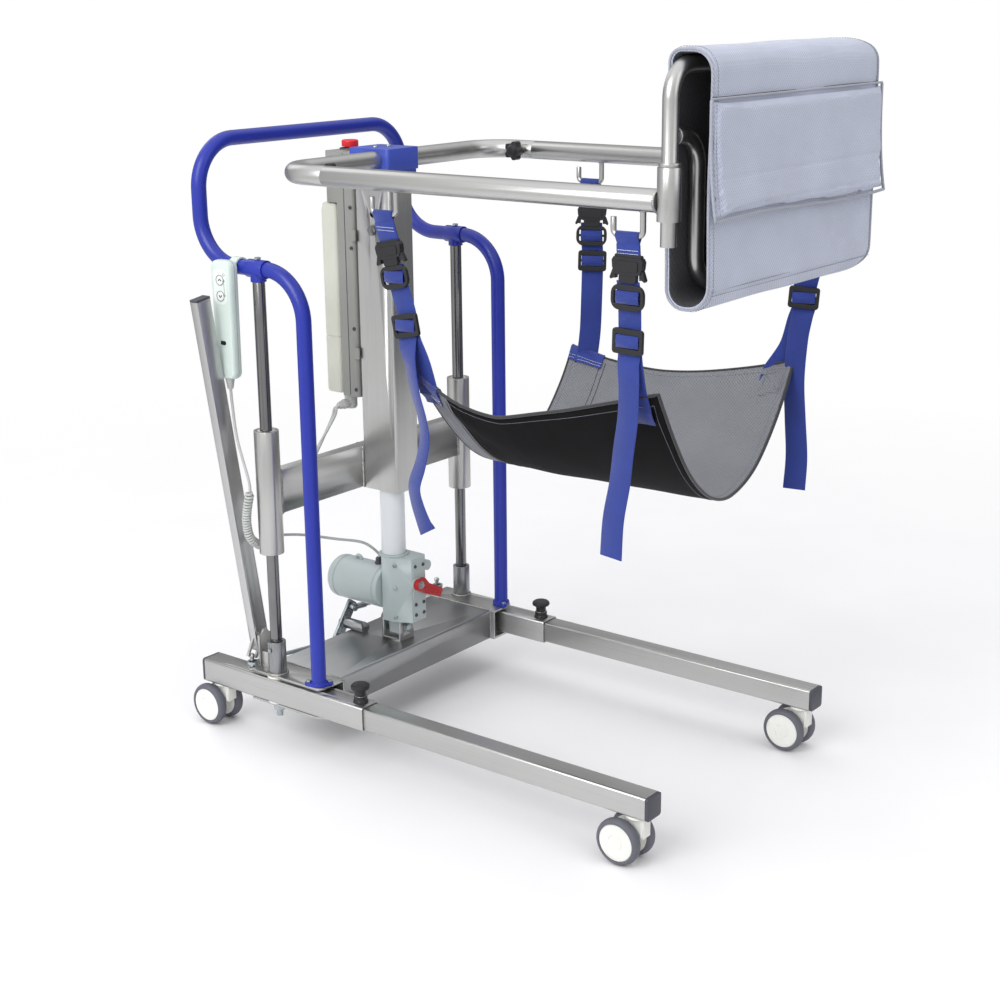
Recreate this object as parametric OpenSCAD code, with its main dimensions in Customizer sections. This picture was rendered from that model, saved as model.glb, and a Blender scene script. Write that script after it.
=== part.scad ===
// Stand-up patient lift hoist: wheeled base with spreading legs, twin guide columns, an electric
// lift carriage with a padded arm ring, a seat sling and a swing-open back pad.
// Frame: millimetres, +Z up, +X towards the person being lifted, origin on the floor under the mast.

/* [Base] */
// Distance of each leg, guide column and handle side from the middle plane
side_y = 271; // [255:1:290]
// Height of the leg centre line above the floor
leg_z = 107; // [105:1:108]
// Outside size of the square rear leg tube
rear_leg_w = 45; // [44:0.5:46]
// Outside size of the square front leg tube
front_leg_w = 40; // [38:0.5:40.5]
// Wall of the leg tubes
leg_wall = 2; // [1.5:0.1:2]
// Rear end of the legs
leg_rear_x = -234; // [-250:1:-225]
// Front end of the rear leg tube
leg_seam_x = 174; // [168:1:190]
// Front end of the legs
leg_front_x = 774; // [740:1:820]
// Where the guide columns and the leg pivots stand
column_x = -54.5; // [-58:0.5:-50]
// Rear edge of the side channels
channel_rear_x = -108; // [-110:1:-105]
// Front edge of the side channels
channel_front_x = 68; // [60:1:75]
// Bottom of the side channels
channel_z = 77; // [76:0.5:78]
// Height of the side channels
channel_h = 60; // [60:1:62]
// Plate thickness of the base
plate_t = 4; // [3:0.5:4]

/* [Columns and handle] */
// Radius of the guide rods
rod_r = 11; // [10:0.5:12]
// Radius of the push handle tube
handle_r = 13.5; // [13:0.5:14]
// Height of the handle's side rails over the guide rods
rail_z = 888; // [880:1:900]
// Where the handle's front posts stand
post_x = 50; // [46:1:54]
// Where the handle's rear uprights stand
grip_x = -193; // [-210:1:-185]
// Height of the grip bar
grip_z = 1100; // [1080:1:1130]

/* [Lift carriage] */
// Outside radius of the guide sleeves
sleeve_r = 22.5; // [21:0.5:24]
// Bottom of the guide sleeves
sleeve_z = 371; // [360:1:380]
// Length of the guide sleeves
sleeve_h = 229; // [200:1:235]
// Length of the mast section along X
mast_l = 84; // [80:1:90]
// Width of the mast section along Y
mast_w = 64; // [62:1:70]
// Bottom of the mast
mast_z = 441; // [435:1:450]
// Top of the mast
mast_top_z = 1040; // [1030:1:1040]
// Height of the arm ring's centre line
arm_z = 1058; // [1058:0.5:1059]
// Radius of the arm tubes
arm_r = 17; // [16:0.5:17]
// Distance of each arm from the middle plane
arm_y = 288; // [284:1:292]
// Where the arms plug into the rear bar
arm_seam_x = 132; // [128:1:140]
// Front end of the arms
arm_front_x = 776; // [770:1:780]

/* [Actuator] */
// Outside radius of the actuator's tube
tube_r = 23.5; // [22:0.5:24]
// Bottom of the gearbox
gearbox_z = 181; // [181:1:183]
// Height of the gearbox
gearbox_h = 127; // [120:1:130]
// Radius of the motor
motor_r = 42.5; // [38:0.5:44]
// Axis height of the motor
motor_z = 240; // [238:1:244]

/* [Casters] */
// Wheel radius
wheel_r = 40; // [40:0.5:41]
// Width of each of the two wheels
wheel_w = 20; // [17:0.5:21]
// Distance the wheel trails behind its swivel
trail = 22; // [20:1:25]
// Swivel of the front casters
front_caster_x = 743; // [730:1:750]
// Swivel of the rear casters
rear_caster_x = -200; // [-205:1:-195]

/* [Seat and back] */
// Where the back frame hinges and its tubes stand
gate_x = 793; // [792:1:795]
// Radius of the back frame's tube
gate_r = 12; // [11:0.5:12]
// Top bar of the back frame
gate_top_z = 1245; // [1230:1:1250]
// Bottom bar of the back frame
gate_low_z = 930; // [925:1:940]
// Height of the sling's side edges
sling_edge_z = 735; // [720:1:745]
// Depth of the sling's sag
sling_sag = 190; // [170:1:200]

/* [Hidden] */
$fn = 64;
eps = 0.01;
fit_gap = 0.05;          // radial clearance of everything that runs or slides
loose_gap = 0.15;        // gap between neighbouring loose parts
channel_top = channel_z + channel_h;
web_y = side_y - 44;     // outer face of each channel's web
flange_y = side_y + 16;  // outer edge of each channel's flanges
rear_half = rear_leg_w / 2;
front_half = front_leg_w / 2;
leg_top = leg_z + rear_half;
pivot_r = 6;
foot_t = 6;
foot_reach = 19;         // from a post's axis to its bolts
foot_turn = 38;
knob_x = 152;
knob_pin_r = 4;
leg_reach = 80;          // how far the front legs pull out
front_leg_rear_x = 54;
crank_x = -119.5;        // middle of the crank plate
crank_y = -20;
crank_z = channel_top + 10;
crank_lean = 36;
crank_r = 34;
link_x = -110;           // plane of the ball joints on the crank
stud_x = -122;           // ball studs on the legs
stud_top_z = 154;
eye_z = 141;
eye_shift = 2;           // the stud swings 4 mm forward, so its eye starts ahead of it
lever_pivot_y = -251.4;
lever_pivot_z = 192.6;
lever_lean = 8.5;
lever_length = 656;
lever_d = 32;            // across the swing
lever_w = 18;            // along the pivot pin
foot_lean = 26;
clevis_z = 163;          // bolt that carries the actuator
gearbox_front_x = 56;
gearbox_rear_x = -8;
motor_end_x = -142;
bracket_x = 5;           // middle of the actuator's foot bracket
release_x = gearbox_front_x + 3;
release_y = -1;          // pivot of the release lever
release_z = 256;
gearbox_top = gearbox_z + gearbox_h;
sleeve_top = sleeve_z + sleeve_h;
box_x = -mast_l / 2 - 3; // front face of the control box
box_top_z = 1070;
mast_bolt_z = 932;       // bolt that ties the actuator's rod to the mast
accessory_z = 961;
arm_bolt_x = 106;        // clamp knobs of the arm ring
hook_x = [282, 750];
gate_sleeve_z = 1030;
gate_sleeve_h = 76;
gate_inner_y = -214;     // inner upright of the back frame
gate_far_y = side_y - 33;
gate_branch_z = 1148;     // where the inner upright bends over to the near one
strap_x = [256, 725];
strap_w = 40;
sling_x0 = 255;
sling_x1 = 752;
sling_y = 284;
sling_arc_r = (sling_y * sling_y + sling_sag * sling_sag) / (2 * sling_sag);
hand_x = -112;
hand_back_y = -side_y - 15;
hand_front_y = hand_back_y - 22;
hand_z = [692, 902];
button_z = [868, 840];
button_r = 8;

// ---------- vectors ----------
function unit(v) = v / norm(v);
function cut_length(a, b, c, r) =
    let (turn = acos(unit(b - a) * unit(c - b))) r * tan(turn / 2);

// ---------- shared shapes ----------

// A round bar from p to q
module bar(p, q, r) {
    d = q - p;
    length = norm(d);
    translate(p) rotate([0, acos(d[2] / length), atan2(d[1], d[0])]) cylinder(r = r, h = length);
}

// The bend of a round bar at corner b, on the way from a to c
module elbow(a, b, c, bend_r, r) {
    u = unit(b - a);
    v = unit(c - b);
    turn = acos(u * v);
    n = unit(v - u * cos(turn));
    z = cross(-n, u);
    centre = b - u * bend_r * tan(turn / 2) + n * bend_r;
    multmatrix([
        [-n[0], u[0], z[0], centre[0]],
        [-n[1], u[1], z[1], centre[1]],
        [-n[2], u[2], z[2], centre[2]],
        [0, 0, 0, 1]
    ]) rotate_extrude(angle = turn) translate([bend_r, 0]) circle(r = r);
}

// A bar bent along the points, with the same bend radius at every corner
module bent_bar(points, bend_r, r) {
    last = len(points) - 1;
    for (i = [0 : last - 1]) {
        a = points[i];
        b = points[i + 1];
        start = i == 0 ? 0 : cut_length(points[i - 1], a, b, bend_r);
        stop = i == last - 1 ? 0 : cut_length(a, b, points[i + 2], bend_r);
        bar(a + unit(b - a) * start, b - unit(b - a) * stop, r);
    }
    for (i = [1 : last - 1]) elbow(points[i - 1], points[i], points[i + 1], bend_r, r);
}

// A rectangle from corner to corner with rounded corners
module rounded_rect(low, high, r) {
    translate([low[0] + r, low[1]]) square([high[0] - low[0] - 2 * r, high[1] - low[1]]);
    translate([low[0], low[1] + r]) square([high[0] - low[0], high[1] - low[1] - 2 * r]);
    for (x = [low[0] + r, high[0] - r], y = [low[1] + r, high[1] - r]) translate([x, y]) circle(r = r);
}

// A box from corner to corner with its edges along Z rounded
module rounded_box(low, high, r) {
    translate([0, 0, low[2]]) linear_extrude(height = high[2] - low[2]) rounded_rect(low, high, r);
}

// A box from corner to corner
module block(low, high) {
    translate(low) cube(high - low);
}

// A square tube along X, centred on y and z
module square_tube(x0, x1, w, wall, r) {
    translate([x0, 0, 0]) rotate([90, 0, 90]) linear_extrude(height = x1 - x0) difference() {
        rounded_rect([-w / 2, -w / 2], [w / 2, w / 2], r);
        rounded_rect([-w / 2 + wall, -w / 2 + wall], [w / 2 - wall, w / 2 - wall], r - wall / 2);
    }
}

// A ring along Z
module ring(r_out, r_in, h) {
    difference() {
        cylinder(r = r_out, h = h);
        translate([0, 0, -1]) cylinder(r = r_in, h = h + 2);
    }
}

// A hexagonal head along Z
module hex_head(across, h) {
    cylinder(r = across / sqrt(3), h = h, $fn = 6);
}

// A star-shaped knob along Z with a rounded lobe at every fifth of a turn
module star_knob(r, h) {
    cylinder(r = r * 0.72, h = h);
    for (a = [0 : 72 : 288]) rotate(a) translate([r * 0.68, 0, 0]) cylinder(r = r * 0.32, h = h);
}

// The children on the right side and again on the left side
module both_sides() {
    children();
    mirror([0, 1, 0]) children();
}

// ---------- base ----------

module flange_outline(inner_y) {
    r = 14;
    length = channel_front_x - channel_rear_x;
    translate([channel_rear_x, -flange_y + r]) square([length, flange_y - inner_y - r]);
    translate([channel_rear_x, -flange_y]) square([length - r, r + eps]);
    translate([channel_front_x - r, -flange_y + r]) circle(r = r);
}

module base_channels() {
    color("silver") {
        both_sides() difference() {
            union() {
                for (z = [channel_z, channel_top - plate_t])
                    translate([0, 0, z]) linear_extrude(height = plate_t) flange_outline(web_y - plate_t);
                block([channel_rear_x, -web_y, channel_z],
                    [channel_front_x, -web_y + plate_t, channel_top]);
            }
            translate([column_x, -side_y, channel_z - 1])
                cylinder(r = pivot_r + fit_gap, h = channel_h + 2);
            foot_bolts() translate([0, 0, -plate_t - 1]) cylinder(r = 3.2, h = plate_t + 2);
        }
        lever_bracket();
    }
}

// Upright plate with the pin that the spreading lever swings on
module lever_bracket() {
    plate_x = channel_rear_x;
    difference() {
        block([plate_x, -268, channel_top - eps], [plate_x + 5, -236, 208]);
        for (y = [-272, -232])
            translate([plate_x - 1, y, 212]) rotate([0, 90, 0]) cylinder(r = 16, h = 7);
    }
    block([plate_x + 5 - eps, -262, channel_top - eps], [plate_x + 22, -257, 165]);
    bar([plate_x + 1, lever_pivot_y, lever_pivot_z], [-133, lever_pivot_y, lever_pivot_z], pivot_r);
}

module base_deck() {
    x0 = -101;
    x1 = 58;
    bend = 5;
    half = web_y - plate_t - eps;
    color("silver") {
        difference() {
            translate([0, half, 0]) rotate([90, 0, 0]) linear_extrude(height = 2 * half) difference() {
                union() {
                    rounded_rect([x0, channel_z + 20], [x1, channel_top], bend);
                    translate([x0, channel_z + 1]) square([x1 - x0, 40]);
                }
                translate([x0 + plate_t, channel_z]) square([x1 - x0 - 2 * plate_t, channel_h - plate_t]);
            }
            for (y = [-12, 12]) translate([0, y, channel_top - plate_t - 1])
                cylinder(r = 3.2, h = plate_t + 2);
        }
        crank_post();
    }
}

// Tube welded on the deck's rear edge, with the pin that the crank plate turns on
module crank_post() {
    difference() {
        bar([-112, crank_y, crank_z], [-62, crank_y, crank_z], 11);
        translate([-62, crank_y - 15, crank_z + 2]) rotate([0, -35, 0]) cube([30, 30, 40]);
    }
    bar([-130, crank_y, crank_z], [-100, crank_y, crank_z], 5);
}

module guide_sockets() {
    color("silver") both_sides() translate([column_x, -side_y, channel_top + eps])
        difference() {
            ring(17, rod_r + fit_gap, 63);
            translate([0, 0, 48]) rotate([90, 0, 0]) cylinder(r = 2.5, h = 20);
        }
}

module guide_rods() {
    color("gainsboro") both_sides() translate([column_x, -side_y, channel_top + 2 * eps]) difference() {
        cylinder(r = rod_r, h = rail_z - channel_top - 4);
        translate([0, 0, -1]) cylinder(r = pivot_r + fit_gap, h = 27);
    }
}

function handle_points(rise) = [
    [post_x, -side_y, channel_top + rise],
    [post_x, -side_y, rail_z],
    [grip_x, -side_y, rail_z],
    [grip_x, -side_y, grip_z],
    [grip_x, side_y, grip_z],
    [grip_x, side_y, rail_z],
    [post_x, side_y, rail_z],
    [post_x, side_y, channel_top + rise]
];

// The children at both bolts of the right post's foot, on the channel's top
module foot_bolts() {
    for (s = [-1, 1]) translate([post_x, -side_y, channel_top]) rotate(foot_turn)
        translate([s * foot_reach, 0, 0]) children();
}

// Diamond-shaped foot with two bolt holes, one on each side of a post
module post_foot() {
    big_r = 17;
    small_r = 7;
    reach = foot_reach;
    lean = asin((big_r - small_r) / reach);
    translate([0, 0, channel_top + eps]) rotate(foot_turn) linear_extrude(height = foot_t) difference() {
        union() {
            circle(r = big_r);
            for (s = [-1, 1]) scale([s, 1]) {
                translate([reach, 0]) circle(r = small_r);
                polygon([
                    [0, -big_r],
                    [big_r * sin(lean), -big_r * cos(lean)],
                    [reach + small_r * sin(lean), -small_r * cos(lean)],
                    [reach + small_r * sin(lean), small_r * cos(lean)],
                    [big_r * sin(lean), big_r * cos(lean)],
                    [0, big_r]
                ]);
            }
        }
        for (s = [-1, 1]) translate([s * reach, 0]) circle(r = 3.2);
    }
}

module push_handle() {
    bend_r = 84;
    color("royalblue") difference() {
        union() {
            bent_bar(handle_points(eps), bend_r, handle_r);
            both_sides() translate([post_x, -side_y, 0]) post_foot();
        }
        bent_bar(handle_points(-1), bend_r, handle_r - 2);
        both_sides() translate([column_x, -side_y, rail_z - 30]) cylinder(r = rod_r + fit_gap, h = 28);
    }
}

module handle_collars() {
    color("royalblue") both_sides() translate([column_x, -side_y, rail_z]) difference() {
        union() {
            translate([-21, 0, 0]) rotate([0, 90, 0]) cylinder(r = handle_r + 2.5, h = 42);
            translate([0, 0, -22]) cylinder(r = rod_r + 3, h = 14);
        }
        translate([-25, 0, 0]) rotate([0, 90, 0]) cylinder(r = handle_r + fit_gap, h = 50);
        translate([0, 0, -30]) cylinder(r = rod_r + fit_gap, h = 30);
        cylinder(r = 3.2, h = 30);
    }
}

// Screw or bolt along Z with its head on the plane z = 0 and its shank below it
module screw(shank_r, shank_h, head_across, head_h) {
    translate([0, 0, -shank_h]) cylinder(r = shank_r, h = shank_h);
    hex_head(head_across, head_h);
}

module base_bolts() {
    color("whitesmoke") {
        both_sides() {
            foot_bolts() translate([0, 0, foot_t + 2 * eps]) screw(3, foot_t + plate_t, 8, 4);
            translate([column_x, -side_y, rail_z + handle_r + 2.6]) screw(3, 2.5, 10, 4);
        }
        clevis_bolt();
    }
}

// Bolt and nut through the actuator bracket
module clevis_bolt() {
    grip = 46 + 2 * eps;
    translate([bracket_x + 23 + eps, 0, clevis_z]) rotate([0, 90, 0]) {
        screw(5, grip, 17, 8);
        translate([0, 0, -grip - 10]) hex_head(17, 10);
    }
}

module leg_bumpers() {
    color("dimgray") both_sides()
        translate([44, -web_y - eps, leg_z]) rotate([90, 0, 0])
            cylinder(r = 11, h = side_y - rear_half - web_y - 0.3);
}

module leg_pivot_bolts() {
    color("lightsteelblue") both_sides() translate([column_x, -side_y, 0]) {
        translate([0, 0, 52]) cylinder(r = pivot_r, h = 105);
        translate([0, 0, channel_z - 13]) hex_head(19, 13 - eps);
    }
}

module pivot_washers() {
    gap = (channel_h - 2 * plate_t - rear_leg_w) / 2;
    color("white") both_sides() translate([column_x, -side_y, 0])
        for (z = [channel_z + plate_t, leg_top]) translate([0, 0, z + fit_gap])
            ring(20, pivot_r + fit_gap, gap - 2 * fit_gap);
}

// ---------- actuator ----------

module actuator_bracket() {
    color("silver") translate([bracket_x, 0, 0]) difference() {
        union() {
            block([-23, -20, channel_top + eps], [23, 20, channel_top + 5]);
            for (x = [-23, 19]) block([x, -20, channel_top + eps], [x + 4, 20, gearbox_z - 2]);
        }
        clevis_bore();
    }
}

module clevis_bore() {
    translate([-40, 0, clevis_z]) rotate([0, 90, 0]) cylinder(r = 5 + fit_gap, h = 80);
}

// Worm gearbox: an upright housing with slanted front corners, a foot lug and a cover boss
module gearbox() {
    rear = gearbox_rear_x;
    front = gearbox_front_x;
    color("lightgray") difference() {
        union() {
            translate([0, 0, gearbox_z]) linear_extrude(height = gearbox_h) polygon([
                [rear, -28], [rear + 4, -32], [22, -32], [front, -14],
                [front, 26], [front - 6, 32], [rear + 4, 32], [rear, 28]
            ]);
            translate([0, 0, 150]) rounded_box([rear, -12, 0], [20, 12, gearbox_z - 150 + eps], 3);
            translate([front - eps, release_y, release_z]) rotate([0, 90, 0]) cylinder(r = 14, h = 2.5);
            translate([front - 8, 34, 286]) rotate([0, 90, 0]) cylinder(r = 10, h = 8);
        }
        clevis_bore();
        translate([0, 0, gearbox_top - 20]) cylinder(r = tube_r + fit_gap, h = 30);
        translate([front - 8, release_y, release_z]) rotate([0, 90, 0]) cylinder(r = 4 + fit_gap, h = 30);
    }
}

module actuator_motor() {
    dome = 14;
    length = gearbox_rear_x - motor_end_x;
    color("lightgray") translate([gearbox_rear_x - eps, -6, motor_z]) {
        rotate([0, -90, 0]) rotate_extrude() {
            square([motor_r, length - dome]);
            square([motor_r - dome, length]);
            translate([motor_r - dome, length - dome]) circle(r = dome);
        }
        translate([-78, 5, motor_r]) rotate([90, 0, 0]) ring(9, 4, 10);
    }
}

module actuator_tube() {
    color("whitesmoke") translate([0, 0, gearbox_top - 20 + eps]) ring(tube_r, tube_r - 3, 472);
}

module release_lever() {
    tip_y = 60;
    tip_z = -31;
    color("red") translate([release_x, release_y, release_z]) {
        difference() {
            union() {
                rotate([0, 90, 0]) cylinder(r = 11, h = 9);
                translate([1, 0, 0]) rotate([90, 0, 90]) linear_extrude(height = 7)
                    polygon([[-4, -10], [18, -22], [tip_y - 2, tip_z - 8], [tip_y + 6, tip_z + 6],
                        [tip_y - 2, tip_z + 12], [26, -2], [14, 12], [4, 10]]);
            }
            translate([5, tip_y + 10, tip_z - 14]) rotate([0, 90, 0]) cylinder(r = 6, h = 8);
        }
        translate([-9, 0, 0]) rotate([0, 90, 0]) cylinder(r = 4, h = 12);
    }
}

// ---------- legs ----------

// Ball stud on top of a leg, for the tie rod's eye and the lever's foot
module tie_stud() {
    translate([stud_x, 0, 0]) {
        translate([0, 0, leg_top - eps]) cylinder(r = 9, h = 3);
        translate([0, 0, leg_top]) cylinder(r = 4, h = stud_top_z - leg_top);
        translate([0, 0, stud_top_z]) sphere(r = 5.5);
    }
}

module leg_tube() {
    color("silver") {
        translate([0, -side_y, 0]) difference() {
            union() {
                translate([0, 0, leg_z])
                    square_tube(leg_rear_x + 4, leg_seam_x, rear_leg_w, leg_wall, 4);
                translate([knob_x, 0, leg_top - eps]) cylinder(r = 10.5, h = 13);
            }
            translate([column_x, 0, 60]) cylinder(r = pivot_r + fit_gap, h = 90);
            translate([knob_x, 0, leg_top - 10]) cylinder(r = knob_pin_r + fit_gap, h = 30);
            translate([rear_caster_x, 0, 60]) cylinder(r = 5.5, h = 50);
        }
        translate([0, -side_y, 0]) tie_stud();
    }
}

module end_cap(x, w, inward) {
    color("dimgray") translate([x, -side_y, leg_z]) {
        translate([inward > 0 ? 0 : -5, 0, 0]) rotate([90, 0, 90])
            linear_extrude(height = 5) rounded_rect([-w / 2, -w / 2], [w / 2, w / 2], 5);
        plug = w / 2 - leg_wall - 0.3;
        translate([inward > 0 ? 5 - eps : -20, 0, 0]) rotate([90, 0, 90])
            linear_extrude(height = 15) rounded_rect([-plug, -plug], [plug, plug], 3);
    }
}

module rear_cap() {
    end_cap(leg_rear_x - 1, rear_leg_w, 1);
}

module front_cap() {
    end_cap(leg_front_x, front_leg_w, -1);
}

module front_leg() {
    slot_half = 6;
    slot_end = 18;
    color("silver") translate([0, -side_y, 0]) difference() {
        translate([0, 0, leg_z])
            square_tube(front_leg_rear_x, leg_front_x - 5, front_leg_w, leg_wall, 4);
        block([knob_x - leg_reach - slot_end, -slot_half, leg_z + front_half - 6],
            [knob_x + slot_end, slot_half, leg_z + front_half + 1]);
        translate([front_caster_x, 0, 60]) cylinder(r = 5.5, h = 50);
    }
}

module leg_knob() {
    color("dimgray") translate([knob_x, -side_y, 0]) {
        translate([0, 0, leg_top - 5]) cylinder(r = knob_pin_r, h = 20);
        translate([0, 0, leg_top + 13 + loose_gap]) rotate_extrude() {
            square([10, 10]);
            polygon([[0, 9], [10, 9], [17.5, 14], [17.5, 19], [14, 23], [0, 24]]);
        }
    }
}

// ---------- casters ----------

// Fork of a twin-wheel caster, seen from its swivel axis; its stem plugs into the leg
module caster_fork(x, y, top) {
    fork_half = wheel_w / 2;
    stem_h = 24;
    color("white") translate([x, y, 0]) difference() {
        union() {
            translate([0, 0, top - 4]) cylinder(r1 = 19, r2 = 18, h = 3.7);
            translate([0, fork_half, 0]) rotate([90, 0, 0]) linear_extrude(height = 2 * fork_half) {
                polygon([[-trail - 13, 44], [-trail - 9, 62], [-16, top - 4], [18, top - 4],
                    [18, 50], [-trail + 8, 29]]);
                translate([-trail, wheel_r]) circle(r = 13.5);
            }
            translate([0, 0, top - 5]) cylinder(r = 5.45, h = stem_h);
        }
        translate([-trail, fork_half + 5, wheel_r]) rotate([90, 0, 0])
            cylinder(r = 4 + fit_gap, h = 2 * fork_half + 10);
    }
}

module caster_wheels(x, y) {
    gap = wheel_w / 2 + 1.5;
    hub_r = wheel_r - 8;
    color("slategray") translate([x - trail, y, wheel_r]) {
        rotate([90, 0, 0]) translate([0, 0, -gap - wheel_w + 1])
            cylinder(r = 4, h = 2 * (gap + wheel_w) - 2);
        both_sides() translate([0, -gap, 0]) rotate([90, 0, 0]) {
            rotate_extrude() {
                square([hub_r, wheel_w - 3]);
                translate([hub_r - 6, 0]) square([6, wheel_w]);
                square([10, wheel_w - 1]);
            }
            rotate_extrude() translate([hub_r + 0.02, 0])
                polygon([[0, 0], [5, 0], [8, 4], [8, wheel_w - 4], [5, wheel_w], [0, wheel_w]]);
        }
    }
}

// ---------- leg spreading ----------

function crank_ball(side) =
    [link_x, crank_y + side * crank_r * sin(crank_lean), crank_z + side * crank_r * cos(crank_lean)];

module crank_plate() {
    color("lightsteelblue") {
        translate([crank_x - 2.5, crank_y, crank_z]) rotate([-crank_lean, 0, 0]) difference() {
            rotate([90, 0, 90]) linear_extrude(height = 5) rounded_rect([-12, -46], [12, 46], 4);
            translate([-1, 0, 0]) rotate([0, 90, 0]) cylinder(r = 5 + fit_gap, h = 8);
        }
        for (side = [-1, 1]) {
            ball = crank_ball(side);
            bar([crank_x, ball[1], ball[2]], [link_x + 6.5, ball[1], ball[2]], 4);
        }
    }
}

// Rod from a ball joint on the crank to the stud on a leg
module tie_rod(side) {
    from = crank_ball(side);
    to = [stud_x + eye_shift, side * side_y, eye_z];
    way = unit(to - from);
    color("silver") difference() {
        union() {
            translate([link_x - 5, from[1], from[2]]) rotate([0, 90, 0]) cylinder(r = 8, h = 10);
            bar(from + way * 6, to - way * 8, 4);
            bar(from + way * 6, from + way * 34, 6);
            translate(to - [0, 0, 3]) cylinder(r = 11, h = 6);
        }
        translate([link_x - 8, from[1], from[2]]) rotate([0, 90, 0]) cylinder(r = 4 + fit_gap, h = 16);
        translate(to - [0, 0, 8]) cylinder(r = 7.4, h = 16);
    }
}

module spread_lever() {
    tail = 28;
    hub_r = 8.6;
    color("gray") {
        translate([stud_x - lever_w / 2, lever_pivot_y, lever_pivot_z]) {
            rotate([lever_lean, 0, 0]) difference() {
                translate([0, -lever_d / 2, -tail]) difference() {
                    cube([lever_w, lever_d, lever_length + tail - 4]);
                    translate([2, 2, -1]) cube([lever_w - 4, lever_d - 4, lever_length + tail]);
                }
                translate([-1, 0, 0]) rotate([0, 90, 0]) cylinder(r = hub_r, h = lever_w + 2);
            }
            rotate([0, 90, 0]) ring(hub_r, pivot_r + fit_gap, lever_w);
        }
        lever_foot();
    }
}

// Forked plate under the lever that pushes the right leg's ball stud
module lever_foot() {
    slot_half = 8;
    reach = 46;
    half = 13;
    translate([stud_x - 2.5, lever_pivot_y, lever_pivot_z]) rotate([-foot_lean, 0, 0]) difference() {
        block([0, -half, -reach], [5, half, -8]);
        block([-1, -slot_half, -reach - 1], [6, slot_half, -reach + 14]);
        translate([-1, 0, -reach + 14]) rotate([0, 90, 0]) cylinder(r = slot_half, h = 7);
    }
}

module lever_cap() {
    plug = lever_d / 2 - 2.3;
    color("dimgray") translate([stud_x - lever_w / 2, lever_pivot_y, lever_pivot_z])
        rotate([lever_lean, 0, 0]) {
            block([0, -lever_d / 2, lever_length - 4 + eps], [lever_w, lever_d / 2, lever_length]);
            block([2.3, -plug, lever_length - 16], [lever_w - 2.3, plug, lever_length - 4 + 2 * eps]);
        }
}

// ---------- carriage ----------

module guide_sleeves() {
    color("silver") both_sides() translate([column_x, -side_y, sleeve_z]) ring(sleeve_r, 16, sleeve_h);
}

module slide_bushes() {
    length = 40;
    color("ivory") both_sides() translate([column_x, -side_y, 0])
        for (z = [sleeve_z + 1, sleeve_top - length - 1]) translate([0, 0, z])
            ring(16 - fit_gap, rod_r + fit_gap, length);
}

module crossbeam() {
    x0 = -67;
    x1 = -mast_l / 2 - eps;
    z0 = 443;
    z1 = 523;
    color("silver") difference() {
        block([x0, -side_y + 8, z0], [x1, side_y - 8, z1]);
        block([x0 + 2.5, -side_y, z0 + 2.5], [x1 - 2.5, side_y, z1 - 2.5]);
        both_sides() translate([column_x, -side_y, z0 - 1]) cylinder(r = sleeve_r + eps, h = z1 - z0 + 2);
    }
}

module mast() {
    wall = 3;
    color("silver") difference() {
        rounded_box([-mast_l / 2, -mast_w / 2, mast_z], [mast_l / 2, mast_w / 2, mast_top_z], 5);
        rounded_box([-mast_l / 2 + wall, -mast_w / 2 + wall, mast_z - 1],
            [mast_l / 2 - wall, mast_w / 2 - wall, mast_top_z + 1], 3);
        translate([0, 50, accessory_z]) rotate([90, 0, 0]) cylinder(r = 6, h = 100);
        translate([0, 50, mast_bolt_z]) rotate([90, 0, 0]) cylinder(r = 5 + fit_gap, h = 100);
    }
}

module mast_cap() {
    x0 = -mast_l / 2 - 2;
    x1 = mast_l / 2 + 9;
    half = mast_w / 2 + 11;
    top = arm_z + arm_r + 4;
    color("royalblue") difference() {
        union() {
            rounded_box([x0, -half, mast_top_z], [x1, half, top], 6);
            rounded_box([-6, -half, mast_top_z - 14], [x1 - 5, half, mast_top_z + 5], 6);
        }
        block([-mast_l / 2 - loose_gap, -mast_w / 2 - loose_gap, mast_top_z - 30],
            [mast_l / 2 + loose_gap, mast_w / 2 + loose_gap, mast_top_z + eps]);
        translate([20, half + 5, arm_z]) rotate([90, 0, 0]) cylinder(r = arm_r + eps, h = 2 * half + 10);
    }
}

module actuator_rod() {
    color("gainsboro") difference() {
        union() {
            translate([0, 0, mast_z]) cylinder(r = 14, h = mast_bolt_z - 17 - mast_z);
            translate([0, 0, mast_bolt_z - 17 - eps]) cylinder(r = 17, h = 33);
        }
        translate([0, 50, mast_bolt_z]) rotate([90, 0, 0]) cylinder(r = 5 + fit_gap, h = 100);
    }
    color("gainsboro") translate([0, -mast_w / 2 - eps, mast_bolt_z]) rotate([90, 0, 0]) {
        screw(5, mast_w + 8, 17, 5);
        translate([0, 0, -mast_w - 8]) hex_head(17, 7.9);
    }
}

function rear_bar_points(extra) = [
    [arm_seam_x + extra, -arm_y, arm_z],
    [20, -arm_y, arm_z],
    [20, arm_y, arm_z],
    [arm_seam_x + extra, arm_y, arm_z]
];

module rear_arm_bar() {
    bend_r = 70;
    color("gainsboro") difference() {
        union() {
            bent_bar(rear_bar_points(0), bend_r, arm_r);
            both_sides() translate([arm_bolt_x, -arm_y + arm_r - 3, arm_z])
                rotate([-90, 0, 0]) cylinder(r = 9, h = 12);
        }
        bent_bar(rear_bar_points(1), bend_r, arm_r - 2);
        both_sides() translate([arm_bolt_x, -arm_y + 3, arm_z])
            rotate([-90, 0, 0]) cylinder(r = 4 + fit_gap, h = 40);
    }
}

module arm_knob() {
    color("dimgray") translate([arm_bolt_x, -arm_y, arm_z]) rotate([-90, 0, 0]) {
        translate([0, 0, 12]) cylinder(r = 4, h = 18);
        translate([0, 0, arm_r + 9 + loose_gap]) star_knob(18, 16);
        translate([0, 0, arm_r + 9 + loose_gap + 16 - eps]) cylinder(r1 = 12, r2 = 8, h = 4);
    }
}

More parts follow.
